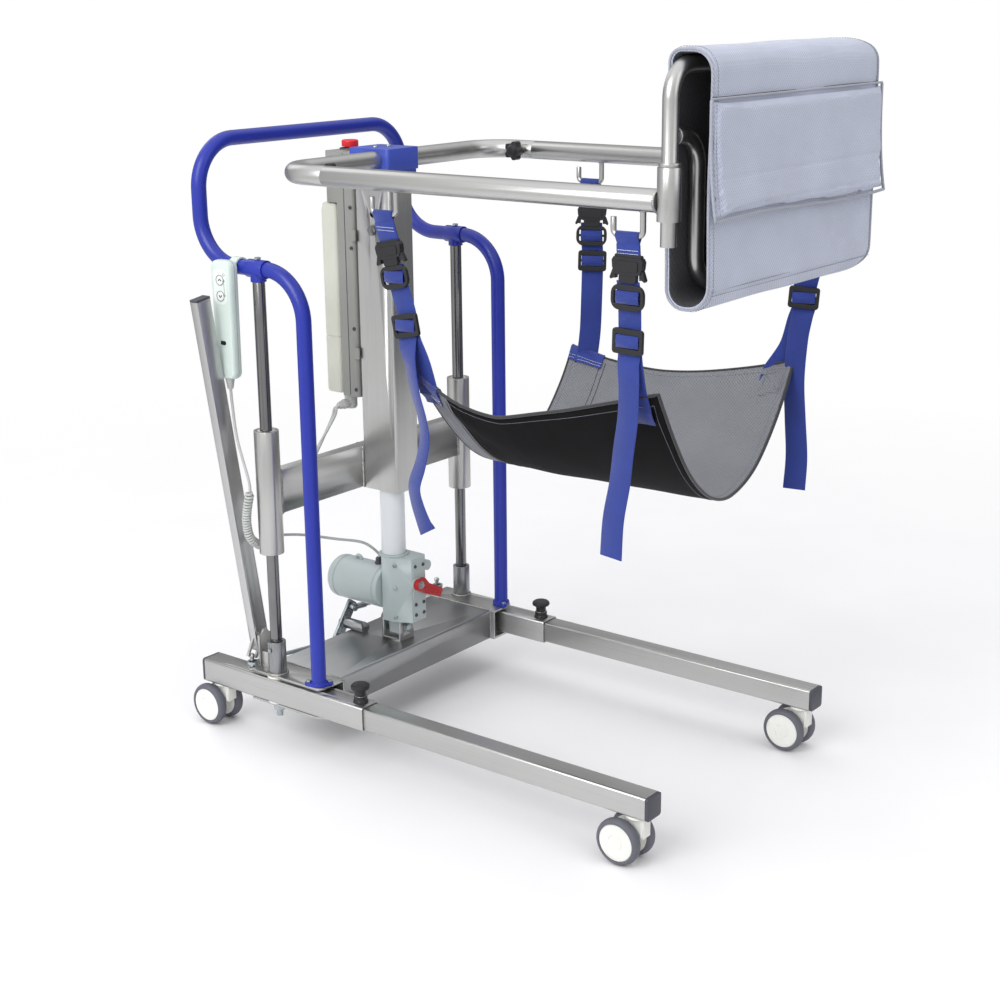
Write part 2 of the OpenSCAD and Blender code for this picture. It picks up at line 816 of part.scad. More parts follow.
module control_box() {
    wall = 3;
    head_z = 977;
    top_z = box_top_z;
    half = 35;
    color("lightgray") difference() {
        union() {
            rounded_box([box_x - 43, -half, 616], [box_x, half, top_z], 7);
            rounded_box([box_x - 67, -half, head_z], [box_x, half, top_z], 7);
            for (z = [680, 900]) block([box_x - eps, -18, z], [box_x + 3 - 2 * eps, 18, z + 40]);
        }
        rounded_box([box_x - 43 + wall, -half + wall, 616 + wall],
            [box_x - wall, half - wall, top_z - 12], 5);
        translate([-92, 15, top_z - 9]) cylinder(r = 8 + fit_gap, h = 12);
    }
}

module battery_pack() {
    color("ivory") rounded_box([box_x - 83, -35, 618], [box_x - 43 - loose_gap, 35, 976], 8);
}

module stop_button() {
    color("red") translate([-92, 15, 0]) {
        translate([0, 0, box_top_z - 4]) cylinder(r = 8, h = 10);
        translate([0, 0, box_top_z + 5]) rotate_extrude() {
            square([12.5, 12]);
            square([15.5, 9]);
            translate([12.5, 9]) circle(r = 3);
        }
    }
}

// ---------- arms and back ----------

function hook_points(x) = [
    [x, -arm_y, arm_z - arm_r + 2],
    [x, -arm_y, 1005],
    [x - 51, -arm_y, 1005],
    [x - 51, -arm_y, 1031]
];

module front_arms() {
    catch_y = side_y - 33;
    color("gainsboro") difference() {
        union() {
            both_sides() {
                bar([arm_seam_x - 40, -arm_y, arm_z], [arm_seam_x + 5, -arm_y, arm_z], arm_r - 2 - fit_gap);
                bar([arm_seam_x + loose_gap, -arm_y, arm_z], [arm_front_x, -arm_y, arm_z], arm_r);
                for (x = hook_x) bent_bar(hook_points(x), 9, 4.5);
            }
            translate([gate_x, -arm_y, gate_sleeve_z]) cylinder(r = 17.5, h = gate_sleeve_h);
            gate_saddle(catch_y);
        }
        both_sides() {
            bar([arm_seam_x - 50, -arm_y, arm_z], [arm_front_x - 12, -arm_y, arm_z], arm_r - 4);
            block([arm_seam_x - 50, -arm_y, arm_z - 4.5],
                [arm_bolt_x + 4.5, -arm_y + arm_r, arm_z + 4.5]);
        }
        translate([gate_x, -arm_y, 1020]) cylinder(r = gate_r + fit_gap, h = 100);
        translate([gate_x, catch_y, 1020]) cylinder(r = gate_r + 0.6, h = 100);
    }
}

// Bracket on the left arm's end with a half-round saddle, open to the front, for the back frame
module gate_saddle(y) {
    difference() {
        translate([gate_x, y, 1034]) cylinder(r = gate_r + 5, h = 48);
        block([gate_x, y - 30, 1030], [gate_x + 30, y + 30, 1090]);
    }
    block([arm_front_x - 16, y, 1046], [arm_front_x + 2, arm_y + 14, 1070]);
    translate([arm_front_x - 4, arm_y - 12, 1069]) cylinder(r = 5, h = 15);
}

// Flat hook on top of the left arm's end; its finger drops behind the gate's far tube
module gate_latch() {
    pivot = [arm_front_x - 4, arm_y - 12, 1084];
    reach = 59;
    color("silver") translate(pivot + [0, 0, loose_gap]) rotate([0, 0, 17]) linear_extrude(height = 4) {
        rounded_rect([-8, -8], [reach, 8], 4);
        rounded_rect([reach - 8, -20], [reach, 8], 3);
    }
}

module gate_frame() {
    route = [
        [gate_x, -arm_y, gate_sleeve_z - 36],
        [gate_x, -arm_y, gate_top_z],
        [gate_x, gate_far_y, gate_top_z],
        [gate_x, gate_far_y, gate_low_z],
        [gate_x, gate_inner_y, gate_low_z],
        [gate_x, gate_inner_y, gate_branch_z],
        [gate_x, -arm_y + gate_r + loose_gap, gate_branch_z]
    ];
    color("gainsboro") {
        bent_bar(route, 46, gate_r);
        translate([gate_x, -arm_y, gate_sleeve_z + gate_sleeve_h + loose_gap]) cylinder(r = 16, h = 6);
    }
}

module back_pad() {
    x0 = 770;
    x1 = 850;
    z0 = 898;
    z1 = 1270;
    skin = 7.5;
    color("lightsteelblue") {
        translate([0, 205, 0]) rotate([90, 0, 0]) linear_extrude(height = 205 + 262) difference() {
            rounded_rect([x0, z0], [x1, z1], 24);
            rounded_rect([x0 + skin, z0 + skin], [x1 - 12, z1 - skin], 17);
        }
        block([x1 - 12, -275, z0 + 30], [x1, 258, z1 - 30]);
    }
}

// ---------- seat sling ----------

module sling_seat() {
    centre_z = sling_edge_z - sling_sag + sling_arc_r;
    thick = 6;
    color("slategray") translate([sling_x0, 0, 0]) rotate([90, 0, 90])
        linear_extrude(height = sling_x1 - sling_x0) difference() {
            translate([0, centre_z]) circle(r = sling_arc_r, $fn = 180);
            translate([0, centre_z]) circle(r = sling_arc_r - thick, $fn = 180);
            translate([-sling_arc_r - 1, sling_edge_z]) square([2 * sling_arc_r + 2, 2 * sling_arc_r]);
        }
}

module sling_straps() {
    color("royalblue") both_sides() for (x = strap_x)
        block([x - strap_w / 2, -arm_y - 1.5, sling_edge_z + 4], [x + strap_w / 2, -arm_y + 1.5, 998]);
}

// Plastic frame that a strap runs through
module strap_frame(x, z, w, h, t) {
    difference() {
        block([x - w / 2, -arm_y - t / 2, z - h / 2], [x + w / 2, -arm_y + t / 2, z + h / 2]);
        block([x - strap_w / 2 - 0.3, -arm_y - 1.8, z - h], [x + strap_w / 2 + 0.3, -arm_y + 1.8, z + h]);
    }
}

module strap_buckles() {
    color("dimgray") both_sides() for (x = strap_x) {
        strap_frame(x, 944, 52, 34, 12);
        strap_frame(x, 904, 52, 22, 9);
        strap_frame(x, 850, 50, 24, 9);
    }
}

// ---------- hand control ----------

module hand_control() {
    half_w = 24;
    relief_h = 20;
    color("honeydew") difference() {
        union() {
            translate([0, hand_back_y, 0]) rotate([90, 0, 0])
                linear_extrude(height = hand_back_y - hand_front_y)
                    rounded_rect([hand_x - half_w, hand_z[0]], [hand_x + half_w, hand_z[1]], 12);
            translate([hand_x, (hand_back_y + hand_front_y) / 2, hand_z[0] - relief_h])
                cylinder(r1 = 4, r2 = 7, h = relief_h + 1);
            translate([hand_x, -side_y, rail_z]) rotate([0, 90, 0]) hand_hook(18);
        }
        for (z = button_z) translate([hand_x, hand_front_y + 4, z]) rotate([90, 0, 0])
            cylinder(r = button_r + 0.3, h = 10);
    }
}

// Half ring that hangs over the handle's rail, open below
module hand_hook(w) {
    difference() {
        cylinder(r = handle_r + 3.6, h = w);
        translate([0, 0, -1]) cylinder(r = handle_r + 0.4, h = w + 2);
        translate([0, -30, -1]) cube([30, 60, w + 2]);
    }
}

module round_button(z) {
    color("gray") translate([hand_x, hand_front_y + 1.8, z]) rotate([90, 0, 0])
        cylinder(r = button_r, h = 3.2);
}

// ---------- the parts ----------

base_channels();
base_deck();
guide_sockets();
guide_rods();
push_handle();
handle_collars();
base_bolts();
leg_bumpers();
leg_pivot_bolts();
pivot_washers();
actuator_bracket();
gearbox();
actuator_motor();
actuator_tube();
release_lever();
leg_tube();  // right_leg_tube
rear_cap();  // right_rear_cap
front_leg();  // right_front_leg
front_cap();  // right_front_cap
leg_knob();  // right_leg_knob
mirror([0, 1, 0]) leg_tube();  // left_leg_tube
mirror([0, 1, 0]) rear_cap();  // left_rear_cap
mirror([0, 1, 0]) front_leg();  // left_front_leg
mirror([0, 1, 0]) front_cap();  // left_front_cap
mirror([0, 1, 0]) leg_knob();  // left_leg_knob
caster_fork(front_caster_x, -side_y, leg_z - front_half);  // caster_fork_front_right
caster_wheels(front_caster_x, -side_y);  // caster_wheels_front_right
caster_fork(front_caster_x, side_y, leg_z - front_half);  // caster_fork_front_left
caster_wheels(front_caster_x, side_y);  // caster_wheels_front_left
caster_fork(rear_caster_x, -side_y, leg_z - rear_half);  // caster_fork_rear_right
caster_wheels(rear_caster_x, -side_y);  // caster_wheels_rear_right
caster_fork(rear_caster_x, side_y, leg_z - rear_half);  // caster_fork_rear_left
caster_wheels(rear_caster_x, side_y);  // caster_wheels_rear_left
crank_plate();
tie_rod(-1);  // tie_rod_right
tie_rod(1);  // tie_rod_left
spread_lever();
lever_cap();
guide_sleeves();
slide_bushes();
crossbeam();
mast();
mast_cap();
actuator_rod();
rear_arm_bar();
arm_knob();  // right_arm_knob
mirror([0, 1, 0]) arm_knob();  // left_arm_knob
control_box();
battery_pack();
stop_button();
front_arms();
gate_frame();
gate_latch();
back_pad();
sling_seat();
sling_straps();
strap_buckles();
hand_control();
round_button(button_z[0]);  // up_button
round_button(button_z[1]);  // down_button
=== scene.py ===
import math

import bmesh
import bpy
from mathutils import Matrix, Vector, noise


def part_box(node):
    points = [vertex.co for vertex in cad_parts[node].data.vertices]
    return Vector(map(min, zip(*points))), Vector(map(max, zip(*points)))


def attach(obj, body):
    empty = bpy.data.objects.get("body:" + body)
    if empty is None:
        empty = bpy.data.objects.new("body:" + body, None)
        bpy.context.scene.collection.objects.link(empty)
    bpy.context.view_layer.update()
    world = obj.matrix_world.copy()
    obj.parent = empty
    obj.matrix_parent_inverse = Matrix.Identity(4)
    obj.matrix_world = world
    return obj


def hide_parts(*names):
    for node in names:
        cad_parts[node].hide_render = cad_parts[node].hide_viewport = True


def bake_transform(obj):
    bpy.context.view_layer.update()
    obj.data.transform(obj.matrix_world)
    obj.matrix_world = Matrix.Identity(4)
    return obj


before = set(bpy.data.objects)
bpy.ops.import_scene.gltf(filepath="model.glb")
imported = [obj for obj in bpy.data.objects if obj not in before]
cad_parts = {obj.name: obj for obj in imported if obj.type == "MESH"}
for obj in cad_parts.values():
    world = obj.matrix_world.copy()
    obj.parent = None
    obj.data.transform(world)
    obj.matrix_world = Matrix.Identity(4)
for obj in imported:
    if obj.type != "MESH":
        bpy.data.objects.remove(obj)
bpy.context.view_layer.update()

MM = 0.001
X, Y, Z = Vector((1, 0, 0)), Vector((0, 1, 0)), Vector((0, 0, 1))
ARM_Y, ARM_Z, ARM_R = 288 * MM, 1058 * MM, 17 * MM
DECK_TOP = 137 * MM


def mm(points):
    """Points given in millimetres, as metres."""
    return [tuple(value * MM for value in point) for point in points]


class Box:
    """A CAD node's corners, middle and size."""

    def __init__(self, node):
        self.low, self.high = (Vector(corner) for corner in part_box(node))
        self.mid = (self.low + self.high) / 2
        self.size = self.high - self.low


# ---------------------------------------------------------------- materials

def rgb(hex_color):
    """Linear colour of an sRGB hex string such as "3a48a8"."""
    parts = [int(hex_color[i : i + 2], 16) / 255 for i in (0, 2, 4)]
    return [c / 12.92 if c <= 0.04045 else ((c + 0.055) / 1.055) ** 2.4 for c in parts]


def shade(color, factor):
    return [min(1.0, c * factor) for c in color]


class Shader:
    """A material's node tree, built with short calls; sockets go in and come out."""

    def __init__(self, name, color, roughness=0.5, metallic=0.0, **inputs):
        self.material = bpy.data.materials.new(name)
        self.material.use_nodes = True
        self.material.diffuse_color = [*color, 1]
        self.tree = self.material.node_tree
        self.bsdf = self.tree.nodes["Principled BSDF"]
        self.set("Base Color", [*color, 1])
        self.set("Roughness", roughness)
        self.set("Metallic", metallic)
        for key, value in inputs.items():
            self.set(key.replace("_", " ").title(), value)
        self.normal = None

    def set(self, name, value):
        if isinstance(value, bpy.types.NodeSocket):
            self.tree.links.new(value, self.bsdf.inputs[name])
        else:
            self.bsdf.inputs[name].default_value = value

    def node(self, kind, inputs=None, out=0, **settings):
        n = self.tree.nodes.new(kind)
        for key, value in settings.items():
            setattr(n, key, value)
        for key, value in (inputs or {}).items():
            if isinstance(value, bpy.types.NodeSocket):
                self.tree.links.new(value, n.inputs[key])
            else:
                n.inputs[key].default_value = value
        return n.outputs[out]

    def place(self, scale=(1, 1, 1), turn=(0, 0, 0), source="Object"):
        coords = self.node("ShaderNodeTexCoord", out=source)
        return self.node("ShaderNodeMapping", {"Vector": coords, "Scale": scale, "Rotation": turn})

    def noise(self, scale, detail=2.0, stretch=(1, 1, 1)):
        return self.node(
            "ShaderNodeTexNoise", {"Vector": self.place(stretch), "Scale": scale, "Detail": detail})

    def cells(self, scale, stretch=(1, 1, 1), turn=(0, 0, 0)):
        return self.node("ShaderNodeTexVoronoi", {"Vector": self.place(stretch, turn), "Scale": scale})

    def wave(self, vector, scale, direction):
        return self.node("ShaderNodeTexWave", {"Vector": vector, "Scale": scale}, bands_direction=direction)

    def remap(self, value, low, high, start=0.0, stop=1.0):
        return self.node("ShaderNodeMapRange", {
            "Value": value, "From Min": low, "From Max": high, "To Min": start, "To Max": stop})

    def math(self, operation, a, b=0.0):
        return self.node("ShaderNodeMath", {0: a, 1: b}, operation=operation)

    def mix(self, amount, a, b):
        a = a if isinstance(a, bpy.types.NodeSocket) else [*a, 1]
        b = b if isinstance(b, bpy.types.NodeSocket) else [*b, 1]
        return self.node("ShaderNodeMix", {0: amount, 6: a, 7: b}, out=2, data_type="RGBA")

    def bump(self, height, distance, strength=1.0):
        inputs = {"Height": height, "Distance": distance, "Strength": strength}
        if self.normal is not None:
            inputs["Normal"] = self.normal
        self.normal = self.node("ShaderNodeBump", inputs)
        self.set("Normal", self.normal)

    def painted_edge_highlight(self, low=0.52, high=0.62):
        """1 on convex edges, 0 elsewhere, for a highlight painted on them."""
        pointiness = self.node("ShaderNodeNewGeometry", out="Pointiness")
        return self.remap(pointiness, low, high)


def brushed_metal(name, color, grain, roughness=0.3):
    """Metal with a fine brushed grain along one axis, faint smudges and a varied sheen."""
    s = Shader(name, color, roughness, 1.0)
    lines = s.noise(1.0, 3.0, tuple(4 if axis == grain else 900 for axis in "xyz"))
    wide = s.noise(1.0, 2.0, tuple(1.2 if axis == grain else 45 for axis in "xyz"))
    smudge = s.noise(6.0, 3.0)
    tone = s.mix(s.remap(lines, 0.3, 0.7), shade(color, 0.92), shade(color, 1.05))
    tone = s.mix(s.remap(wide, 0.35, 0.7, 0, 0.4), tone, shade(color, 1.1))
    s.set("Base Color", s.mix(s.remap(smudge, 0.5, 0.75, 0, 0.15), tone, shade(color, 0.8)))
    s.set("Roughness", s.math("ADD", s.remap(lines, 0.2, 0.8, roughness - 0.05, roughness + 0.05),
                              s.remap(smudge, 0.35, 0.75, 0.0, 0.06)))
    s.bump(lines, 0.00002, 0.35)
    return s.material


def polished_metal(name, color, roughness=0.12):
    s = Shader(name, color, roughness, 1.0)
    fine = s.noise(1.0, 2.0, (700, 700, 4))
    s.set("Roughness", s.remap(fine, 0.3, 0.7, roughness * 0.7, roughness * 1.8))
    s.set("Base Color", s.mix(s.remap(s.noise(14.0), 0.4, 0.7), color, shade(color, 0.88)))
    s.bump(fine, 0.00002, 0.3)
    return s.material


def zinc_plate(name):
    """Bluish zinc with faint spangle and handling marks."""
    color = rgb("bfc7ca")
    s = Shader(name, color, 0.3, 1.0)
    spangle = s.cells(260.0)
    marks = s.noise(40.0, 4.0)
    s.set("Base Color", s.mix(s.remap(marks, 0.35, 0.7), color, rgb("969fa4")))
    s.set("Roughness", s.math("ADD", s.remap(spangle, 0.0, 0.7, 0.2, 0.34),
                              s.remap(marks, 0.4, 0.8, 0, 0.15)))
    s.bump(marks, 0.00006, 0.4)
    return s.material


def weld_metal(name):
    """Ripple-rough weld with a faint heat tint."""
    s = Shader(name, rgb("a9a7a2"), 0.38, 1.0)
    tint = s.noise(120.0, 2.0)
    s.set("Base Color", s.mix(s.remap(tint, 0.35, 0.65), rgb("bdbab3"), rgb("979a9f")))
    s.bump(s.noise(420.0, 2.0), 0.0003, 0.8)
    return s.material


def paint(name, color, roughness=0.28, peel=0.5, coat=0.5):
    """Powder coat: an orange-peel skin, a slight tone shift and convex edges lightened as a painted
    highlight.
    """
    s = Shader(name, color, roughness, 0.0, coat_weight=coat, coat_roughness=0.12)
    soft = s.noise(7.0, 3.0)
    body = s.mix(s.remap(soft, 0.3, 0.75), shade(color, 0.93), shade(color, 1.07))
    # painted highlight: convex edges are mixed a quarter of the way towards 1.6 times the colour
    s.set("Base Color", s.mix(s.math("MULTIPLY", s.painted_edge_highlight(), 0.25), body, shade(color, 1.6)))
    s.set("Roughness", s.remap(soft, 0.3, 0.7, roughness * 0.9, roughness * 1.25))
    s.bump(s.noise(420.0, 1.0), 0.00012, peel)
    return s.material


def moulded(name, color, roughness=0.45, grain=900.0, depth=0.00008):
    """Moulded plastic with a spark-eroded grain, faint flow marks and a painted highlight on convex edges."""
    s = Shader(name, color, roughness)
    flow = s.noise(11.0, 3.0)
    eroded = s.noise(grain, 2.0)
    body = s.mix(s.remap(flow, 0.3, 0.75), shade(color, 0.93), shade(color, 1.05))
    # painted highlight: convex edges are mixed a fifth of the way towards 1.35 times the colour
    s.set("Base Color", s.mix(s.math("MULTIPLY", s.painted_edge_highlight(), 0.2), body, shade(color, 1.35)))
    s.set("Roughness", s.math("ADD", s.remap(eroded, 0.3, 0.7, roughness - 0.07, roughness + 0.07),
                              s.remap(flow, 0.4, 0.8, 0.0, 0.08)))
    s.bump(eroded, depth, 0.6)
    return s.material


def webbing(name, color):
    """Woven strap: chevron ribs across the strap from its UV map, whose unit is a metre."""
    s = Shader(name, color, 0.62, sheen_weight=0.35, sheen_roughness=0.4)
    uv = s.place(source="UV")
    split = s.tree.nodes.new("ShaderNodeSeparateXYZ")
    s.tree.links.new(uv, split.inputs[0])
    across, along = split.outputs["X"], split.outputs["Y"]
    fold = s.math("ABSOLUTE", s.math("SINE", s.math("MULTIPLY", across, 2 * math.pi / 0.0052)))
    phase = s.math("ADD", s.math("MULTIPLY", along, 2 * math.pi / 0.0017), s.math("MULTIPLY", fold, 2.2))
    rib = s.math("SINE", phase)
    warp = s.math("SINE", s.math("MULTIPLY", across, 2 * math.pi / 0.0013))
    weave = s.math("ADD", s.math("MULTIPLY", rib, 0.7), s.math("MULTIPLY", warp, 0.3))
    faded = s.noise(22.0, 3.0)
    body = s.mix(s.remap(weave, -1, 1), shade(color, 0.62), shade(color, 1.22))
    s.set("Base Color", s.mix(s.remap(faded, 0.4, 0.75, 0, 0.35), body, shade(color, 1.35)))
    s.bump(weave, 0.00022, 0.9)
    return s.material


def spacer_fabric(name, color, cell=3.2 * MM, sheen=0.5):
    """Knitted spacer fabric: diagonal ribs crossed by finer ones, over a soft pile."""
    s = Shader(name, color, 0.75, sheen_weight=sheen, sheen_roughness=0.45)
    coords = s.place()
    ribs = []
    for direction in ((0.62, 0.62, 0.48), (0.62, -0.62, 0.48)):
        along = s.node(
            "ShaderNodeVectorMath", {0: coords, 1: direction}, out="Value", operation="DOT_PRODUCT")
        ribs.append(s.math("SINE", s.math("MULTIPLY", along, 2 * math.pi / cell)))
    cells = s.math("ADD", s.math("MULTIPLY", ribs[0], 0.62), s.math("MULTIPLY", ribs[1], 0.38))
    pile = s.noise(900.0, 2.0)
    cloud = s.noise(10.0, 4.0)
    hole = s.remap(cells, -0.75, 0.1)
    base = s.mix(s.remap(cloud, 0.3, 0.75), shade(color, 0.9), shade(color, 1.08))
    s.set("Base Color", s.mix(hole, shade(color, 0.74), base))
    s.set("Roughness", s.remap(pile, 0.3, 0.7, 0.65, 0.85))
    s.bump(hole, 0.0005, 0.7)
    s.bump(pile, 0.0002, 0.5)
    return s.material


def coated_fabric(name, color):
    """Smooth black sling backing with a fine plain weave and creases, with painted shade in the crease
    hollows and a painted highlight on their ridges.
    """
    s = Shader(name, color, 0.7)
    s.set("Specular IOR Level", 0.12)
    grid = s.place((1, 1, 1))
    weave = s.math("ADD", s.wave(grid, 160, "X"), s.wave(grid, 160, "Y"))
    crease = s.noise(30.0, 4.0)
    # painted shade and highlight: the colour follows the crease bump, darker in its hollows and lighter on
    # its ridges
    s.set("Base Color", s.mix(s.remap(crease, 0.35, 0.7), shade(color, 0.8), shade(color, 1.3)))
    s.bump(weave, 0.00008, 0.5)
    s.bump(crease, 0.0008, 0.25)
    return s.material


def thread(name, color):
    s = Shader(name, color, 0.6, sheen_weight=0.2)
    twist = s.noise(1500.0, 1.0)
    s.set("Base Color", s.mix(s.remap(twist, 0.3, 0.7), shade(color, 0.75), shade(color, 1.1)))
    s.bump(twist, 0.0001, 0.6)
    return s.material


STEEL = rgb("bcbcba")
STEEL_X = brushed_metal("stainless_grain_x", STEEL, "x")
STEEL_Y = brushed_metal("stainless_grain_y", STEEL, "y")
STEEL_Z = brushed_metal("stainless_grain_z", STEEL, "z")
LEVER_STEEL = brushed_metal("lever_steel", rgb("c2c2c2"), "z", 0.34)
DECK_STEEL = brushed_metal("deck_steel", rgb("a5a6a7"), "y", 0.31)
# polished steel whose base colour is darkened below the other stainless as a painted dark reflection
SOCKET_STEEL_PAINTED_DARK = polished_metal("socket_steel_dark_reflection_painted", rgb("97989a"), 0.27)
POLISHED = polished_metal("ground_rod", rgb("828282"))
ZINC = zinc_plate("zinc_plate")
WELD = weld_metal("weld_bead")
BLUE = paint("blue_powder_coat", rgb("12279a"), 0.34, 0.5, 0.15)
CAP_BLUE = paint("blue_cap", rgb("3a4fb2"), 0.42, coat=0.1)
GREY_PAINT = paint("actuator_paint", rgb("abb6b6"), 0.36, 0.9, 0.2)
WHITE_TUBE = paint("actuator_tube_white", rgb("dfe3e6"), 0.3, 0.3, 0.3)
DARK = moulded("dark_grey_plastic", rgb("43444d"), 0.5)
BLACK = moulded("black_plastic", rgb("17171a"), 0.38)
RUBBER = moulded("black_rubber", rgb("141414"), 0.65, 500.0)
NYLON = moulded("white_nylon", rgb("e6e3da"), 0.45)
CASTER_WHITE = moulded("caster_white", rgb("e6e7e1"), 0.4, 700.0, 0.00005)
TYRE = moulded("grey_tyre", rgb("5d5e67"), 0.55, 520.0)
BOX_GREY = moulded("control_box_grey", rgb("8e8f8a"), 0.5, 1100.0)
CREAM = moulded("battery_cream", rgb("cbccc0"), 0.45, 1100.0)
MINT = moulded("hand_control_mint", rgb("cfdcd6"), 0.4, 1300.0, 0.00005)
MINT_LIGHT = moulded("hand_control_panel", rgb("e2ebe6"), 0.5, 1500.0, 0.00003)
BUTTON = moulded("button_grey", rgb("83898a"), 0.5)
MARK = moulded("button_face", rgb("eef1ef"), 0.5)
RED = moulded("signal_red", rgb("dc222d"), 0.3, 400.0, 0.00003)
LEVER_RED = moulded("lever_red", rgb("b01018"), 0.35, 400.0, 0.00003)
CABLE_GREY = moulded("cable_grey", rgb("b9bcb9"), 0.45, 600.0, 0.00003)
LED = moulded("led_window", rgb("10201a"), 0.15, 300.0, 0.00001)
WEBBING = webbing("blue_webbing", rgb("1a348c"))
PAD_FABRIC = spacer_fabric("pad_fabric", rgb("c3c9dc"), 3.4 * MM, 0.3)
PAD_LINING = spacer_fabric("pad_lining", rgb("4c4c50"), 5.5 * MM, 0.05)
SLING_TOP = spacer_fabric("sling_mesh", rgb("7f8186"), 4.0 * MM, 0.12)
SLING_BACK = coated_fabric("sling_backing", rgb("0a0a0c"))
PIPING = thread("piping", rgb("2a2a2e"))
PAD_PIPING = spacer_fabric("pad_piping", rgb("a5a9b6"), 3.0 * MM)
WHITE_THREAD = thread("white_thread", rgb("e6e8f0"))
WARM_THREAD = thread("warm_thread", rgb("b98a7c"))
GREY_THREAD = thread("grey_thread", rgb("7b7f8c"))


# ---------------------------------------------------------------- mesh helpers

def finish_mesh(name, bm, materials, body, edge=0.0, crease=38, stands_for=(), levels=0):
    """Turns a bmesh into a piece: smooth shading, broken edges, materials, and the body it rides on."""
    bmesh.ops.recalc_face_normals(bm, faces=bm.faces)
    mesh = bpy.data.meshes.new(name)
    bm.to_mesh(mesh)
    bm.free()
    piece = bpy.data.objects.new(name, mesh)
    bpy.context.scene.collection.objects.link(piece)
    for material in materials if isinstance(materials, (list, tuple)) else [materials]:
        mesh.materials.append(material)
    mesh.shade_smooth()
    mesh.set_sharp_from_angle(angle=math.radians(crease))
    if levels:
        subdivide = piece.modifiers.new("subdivide", "SUBSURF")
        subdivide.levels = subdivide.render_levels = levels
    if edge:
        bevel = piece.modifiers.new("edge", "BEVEL")
        bevel.width = edge
        bevel.segments = 3
        bevel.limit_method = "ANGLE"
        bevel.angle_limit = math.radians(30)
        bevel.harden_normals = True
    if body:
        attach(piece, body)
    if stands_for:
        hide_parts(*stands_for)
    return piece


def axes(origin, out, up):
    """A placement whose local Z points along out and whose local Y is as near to up as it can be."""
    z = Vector(out).normalized()
    x = Vector(up).cross(z).normalized()
    y = z.cross(x)
    return Matrix.Translation(Vector(origin)) @ Matrix((x, y, z)).transposed().to_4x4()


def join_rings(bm, rings, index=0, closed=False):
    """Faces between rings of points; a ring of one point is a tip."""
    pairs = list(zip(rings, rings[1:])) + ([(rings[-1], rings[0])] if closed else [])
    for a, b in pairs:
        steps = max(len(a), len(b))
        for k in range(steps):
            j = k + 1
            corners = [a[k % len(a)], a[j % len(a)], b[j % len(b)], b[k % len(b)]]
            corners = list(dict.fromkeys(corners))
            if len(corners) > 2:
                bm.faces.new(corners).material_index = index


def lathe(bm, profile, place=Matrix(), steps=48, index=0, closed=False):
    """Turns (radius, height) points about local Z."""
    rings = []
    for r, z in profile:
        if r < 1e-9:
            rings.append([bm.verts.new(place @ Vector((0, 0, z)))])
            continue
        ring = []
        for k in range(steps):
            a = 2 * math.pi * k / steps
            ring.append(bm.verts.new(place @ Vector((r * math.cos(a), r * math.sin(a), z))))
        rings.append(ring)
    join_rings(bm, rings, index, closed)


def disc(bm, r, z0, z1, place, steps=32, index=0):
    lathe(bm, [(0, z0), (r, z0), (r, z1), (0, z1)], place, steps, index)


def prism(bm, outline, z0, z1, place=Matrix(), index=0):
    """Extrudes a closed outline of (x, y) points from z0 to z1."""
    ends = [[bm.verts.new(place @ Vector((x, y, z))) for x, y in outline] for z in (z0, z1)]
    join_rings(bm, ends, index)
    for end in ends:
        bm.faces.new(end).material_index = index


def loft(bm, outlines, index=0, caps=True):
    """Joins outlines of the same number of 3-D points."""
    rings = [[bm.verts.new(p) for p in outline] for outline in outlines]
    join_rings(bm, rings, index)
    if caps:
        bm.faces.new(rings[0]).material_index = index
        bm.faces.new(rings[-1]).material_index = index


def round_rect(w, h, r, steps=6):
    """Outline of a rectangle with round corners, centred on the origin."""
    points = []
    for cx, cy, start in ((1, 1, 0), (-1, 1, 90), (-1, -1, 180), (1, -1, 270)):
        for k in range(steps + 1):
            a = math.radians(start + 90 * k / steps)
            points.append((cx * (w / 2 - r) + r * math.cos(a), cy * (h / 2 - r) + r * math.sin(a)))
    return points


def brick(bm, low, high, index=0):
    low, high = Vector(low), Vector(high)
    mid, size = (low + high) / 2, high - low
    w, d = size.x / 2, size.y / 2
    prism(bm, [(-w, -d), (w, -d), (w, d), (-w, d)], -size.z / 2, size.z / 2, Matrix.Translation(mid), index)


def spline(points, steps=8):
    """Smooth path through the points."""
    points = [Vector(p) for p in points]
    padded = [2 * points[0] - points[1], *points, 2 * points[-1] - points[-2]]
    path = []
    for p0, p1, p2, p3 in zip(padded, padded[1:], padded[2:], padded[3:]):
        for k in range(steps):
            t = k / steps
            path.append(0.5 * (2 * p1 + (p2 - p0) * t + (2 * p0 - 5 * p1 + 4 * p2 - p3) * t * t
                               + (3 * p1 - p0 - 3 * p2 + p3) * t ** 3))
    path.append(points[-1])
    return path


def directions(path, closed=False):
    """Tangent and a steady side direction at each point of a path."""
    count = len(path)
    tangents = []
    for i in range(count):
        before = path[(i - 1) % count] if closed or i else path[0]
        after = path[(i + 1) % count] if closed or i < count - 1 else path[-1]
        tangents.append((after - before).normalized())
    side = tangents[0].orthogonal().normalized()
    sides = []
    for t in tangents:
        side = (side - t * side.dot(t)).normalized()
        sides.append(side)
    return tangents, sides


def tube(bm, path, radius, steps=12, closed=False, index=0):
    """Round tube along a path; radius is a length or a function of the distance along it."""
    tangents, sides = directions(path, closed)
    rings, run = [], 0.0
    for i, p in enumerate(path):
        run += (p - path[i - 1]).length if i else 0
        r = radius(run) if callable(radius) else radius
        across = tangents[i].cross(sides[i])
        ring = []
        for k in range(steps):
            a = 2 * math.pi * k / steps
            ring.append(bm.verts.new(p + (sides[i] * math.cos(a) + across * math.sin(a)) * r))
        rings.append(ring)
    join_rings(bm, rings, index, closed)
    if not closed:
        bm.faces.new(rings[0]).material_index = index
        bm.faces.new(rings[-1]).material_index = index


